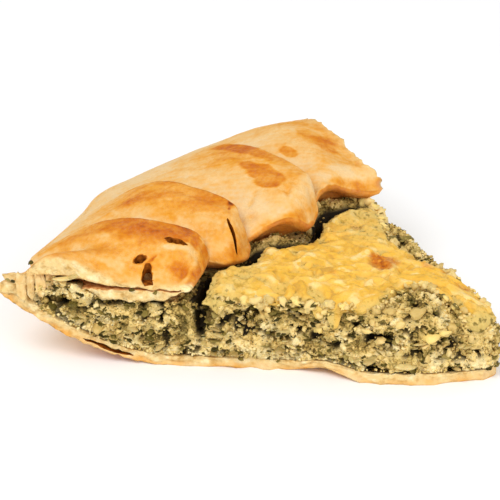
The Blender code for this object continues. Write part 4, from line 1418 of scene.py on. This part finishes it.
def dough():
    s = Shader("dough", 0.6, subsurface=0.03, radius=1.0, specular=0.06)
    brown = s.varied("brown", 1.2, 7, 0.09)
    brown = s.math("ADD", brown, s.level(s.grain(6, 6, 0.5), 0.3, 0.7, -0.12, 0.12))
    baked = s.ramp(brown, (0.0, (230, 194, 140)), (0.2, (232, 180, 104)), (0.4, (228, 156, 50)),
                   (0.6, (214, 128, 20)), (0.8, (192, 94, 2)), (1.0, (100, 40, 0)), mode="LINEAR")
    fine_flour = s.level(s.grain(0.6, 5), 0.42, 0.66, 0.1, 0.55)
    flour = s.math("MULTIPLY", fine_flour, s.level(s.grain(7, 3), 0.3, 0.6))
    flour = s.math("MULTIPLY", flour, s.level(brown, 0.1, 0.6, 1.0, 0.25))
    baked = s.blend(flour, baked, linear(244, 212, 156))
    crumb = s.ramp(s.grain(2.2, 6), (0.3, (206, 162, 92)), (0.5, (236, 204, 140)), (0.7, (248, 228, 176)))
    colour = s.blend(s.mask("raw"), baked, crumb)
    pores = s.math("ADD", s.level(s.grain(0.45, 4), 0.2, 0.8), s.level(s.grain(2.5, 6), 0.2, 0.8))
    s.bump(pores, 0.22, 0.8)
    return s.finish(colour)


def torn_dough(name, dark, light):
    """Dough inside a hollow or a tear."""
    s = Shader(name, 0.7, specular=0.05)
    grain = s.grain(1.6, 6)
    s.bump(grain, 0.3, 0.8)
    return s.finish(s.ramp(grain, (0.35, dark), (0.65, light)))


def filling_colour(s):
    mixed = s.ramp(s.varied("lot", 0.7, 6, 0.3),
                   (0.0, (92, 72, 28)), (0.16, (158, 130, 64)), (0.34, (206, 174, 98)),
                   (0.54, (232, 200, 124)), (0.78, (242, 214, 144)), (1.0, (250, 228, 168)), mode="LINEAR")
    green = s.level(s.grain(3.0, 4), 0.48, 0.62)
    mixed = s.blend(s.math("MULTIPLY", green, 0.35), mixed, linear(146, 130, 70))
    specks = s.level(s.grain(0.7, 3), 0.62, 0.68, 0.0, 0.7)
    return s.blend(specks, mixed, linear(62, 50, 18))


def filling_material(name):
    s = Shader(name, 0.6, subsurface=0.04, radius=1.0, specular=0.2)
    colour = filling_colour(s)
    # Painted shade: near black in the pits, the holes and the crevice
    dark = s.blend(s.mask("pit_and_shade"), colour, linear(34, 25, 6))
    s.bump(s.grain(0.55, 6), 0.35, 0.9)
    return s.finish(dark)


def cheese_crumb():
    s = Shader("white_cheese", 0.5, subsurface=0.12, radius=1.5)
    cream = s.ramp(s.varied("lot", 1.5, 4, 0.12),
                   (0.0, (206, 174, 100)), (0.5, (230, 200, 130)), (1.0, (242, 210, 124)))
    s.bump(s.grain(0.8, 5), 0.2, 0.6)
    return s.finish(cream)


def leaf():
    s = Shader("spinach_leaf", 0.5, specular=0.15)
    green = s.ramp(s.varied("lot", 1.0, 4, 0.2),
                   (0.0, (52, 46, 12)), (0.4, (88, 76, 26)), (0.75, (128, 110, 50)), (1.0, (160, 140, 78)))
    s.bump(s.grain(0.7, 4), 0.15, 0.5)
    return s.finish(green)


def onion():
    s = Shader("onion", 0.35, subsurface=0.3, radius=2.5)
    pale = s.ramp(s.varied("lot", 2.0, 4, 0.2),
                  (0.0, (158, 134, 76)), (0.5, (190, 166, 104)), (1.0, (222, 196, 130)))
    s.bump(s.grain(1.2, 4), 0.1, 0.4)
    return s.finish(pale)


def melted_cheese():
    s = Shader("melted_cheese", 0.5, subsurface=0.10, radius=1.2, specular=0.2)
    yellow = s.ramp(s.varied("lot", 3.5, 5, 0.3),
                    (0.0, (210, 160, 64)), (0.35, (232, 180, 64)),
                    (0.65, (240, 190, 82)), (1.0, (244, 212, 136)))
    flecks = s.level(s.grain(1.5, 5), 0.54, 0.64)
    veil = s.blend(flecks, linear(214, 184, 104), linear(134, 114, 52))
    colour = s.blend(s.mask("thin"), yellow, veil)
    browned = s.ramp(s.grain(1.2, 5), (0.3, (158, 76, 4)), (0.5, (198, 112, 10)), (0.7, (226, 150, 40)))
    colour = s.blend(s.mask("brown"), colour, browned)
    s.bump(s.math("ADD", s.grain(0.6, 5), s.grain(2.0, 5)), 0.35, 0.8)
    return s.finish(colour)


# The stage

def make_floor():
    bpy.ops.mesh.primitive_plane_add(size=FLOOR_SIZE)
    floor = bpy.context.object
    floor.name = "floor"
    paint = Shader("pale_floor", 0.9)
    paint.shader.inputs["Base Color"].default_value = linear(250, 250, 250)
    floor.data.materials.append(paint.material)


def add_area(name, position, size, power):
    """A square lamp that shines at the slice."""
    data = bpy.data.lights.new(name, "AREA")
    data.energy = power
    data.size = size
    lamp = bpy.data.objects.new(name, data)
    lamp.location = position
    lamp.rotation_euler = (-Vector(position)).to_track_quat("-Z", "Y").to_euler()
    bpy.context.scene.collection.objects.link(lamp)


def make_light():
    add_area("key_light", (-0.5, -0.7, 1.1), size=0.7, power=8.5)
    add_area("fill_light", (0.8, -0.9, 0.5), size=0.9, power=5)
    world = bpy.data.worlds.new("studio")
    world.use_nodes = True
    background = world.node_tree.nodes["Background"]
    background.inputs[0].default_value = (1.0, 1.0, 1.0, 1.0)
    background.inputs[1].default_value = SKY_STRENGTH
    bpy.context.scene.world = world
    bpy.context.scene.view_settings.view_transform = "Standard"


def make_camera():
    data = bpy.data.cameras.new("camera")
    data.sensor_width = SENSOR_WIDTH
    data.lens = FOCAL_PIXELS / PICTURE_SIZE * SENSOR_WIDTH
    right = Vector((math.cos(CAMERA_AZIMUTH), math.sin(CAMERA_AZIMUTH), 0))
    level = Vector((right.y, -right.x, 0))
    back = level * math.cos(CAMERA_ELEVATION) + Vector((0, 0, math.sin(CAMERA_ELEVATION)))
    up = back.cross(right)
    aside = (MIDDLE_PIXEL[0] - PICTURE_SIZE / 2) / FOCAL_PIXELS * CAMERA_DISTANCE
    below = (MIDDLE_PIXEL[1] - PICTURE_SIZE / 2) / FOCAL_PIXELS * CAMERA_DISTANCE
    stand = Vector(PIE_MIDDLE * MM) + back * CAMERA_DISTANCE - right * aside + up * below
    camera = bpy.data.objects.new("camera", data)
    camera.matrix_world = Matrix.Translation(stand) @ Matrix((right, up, back)).transposed().to_4x4()
    bpy.context.scene.collection.objects.link(camera)
    bpy.context.scene.camera = camera


make_camera()
make_light()
make_floor()
make_crust()
make_filling()
make_cheese()
make_crumbs()
make_fine_crumbs()
make_cheese_crumbs()
make_leaves()
make_onion()
make_flakes()
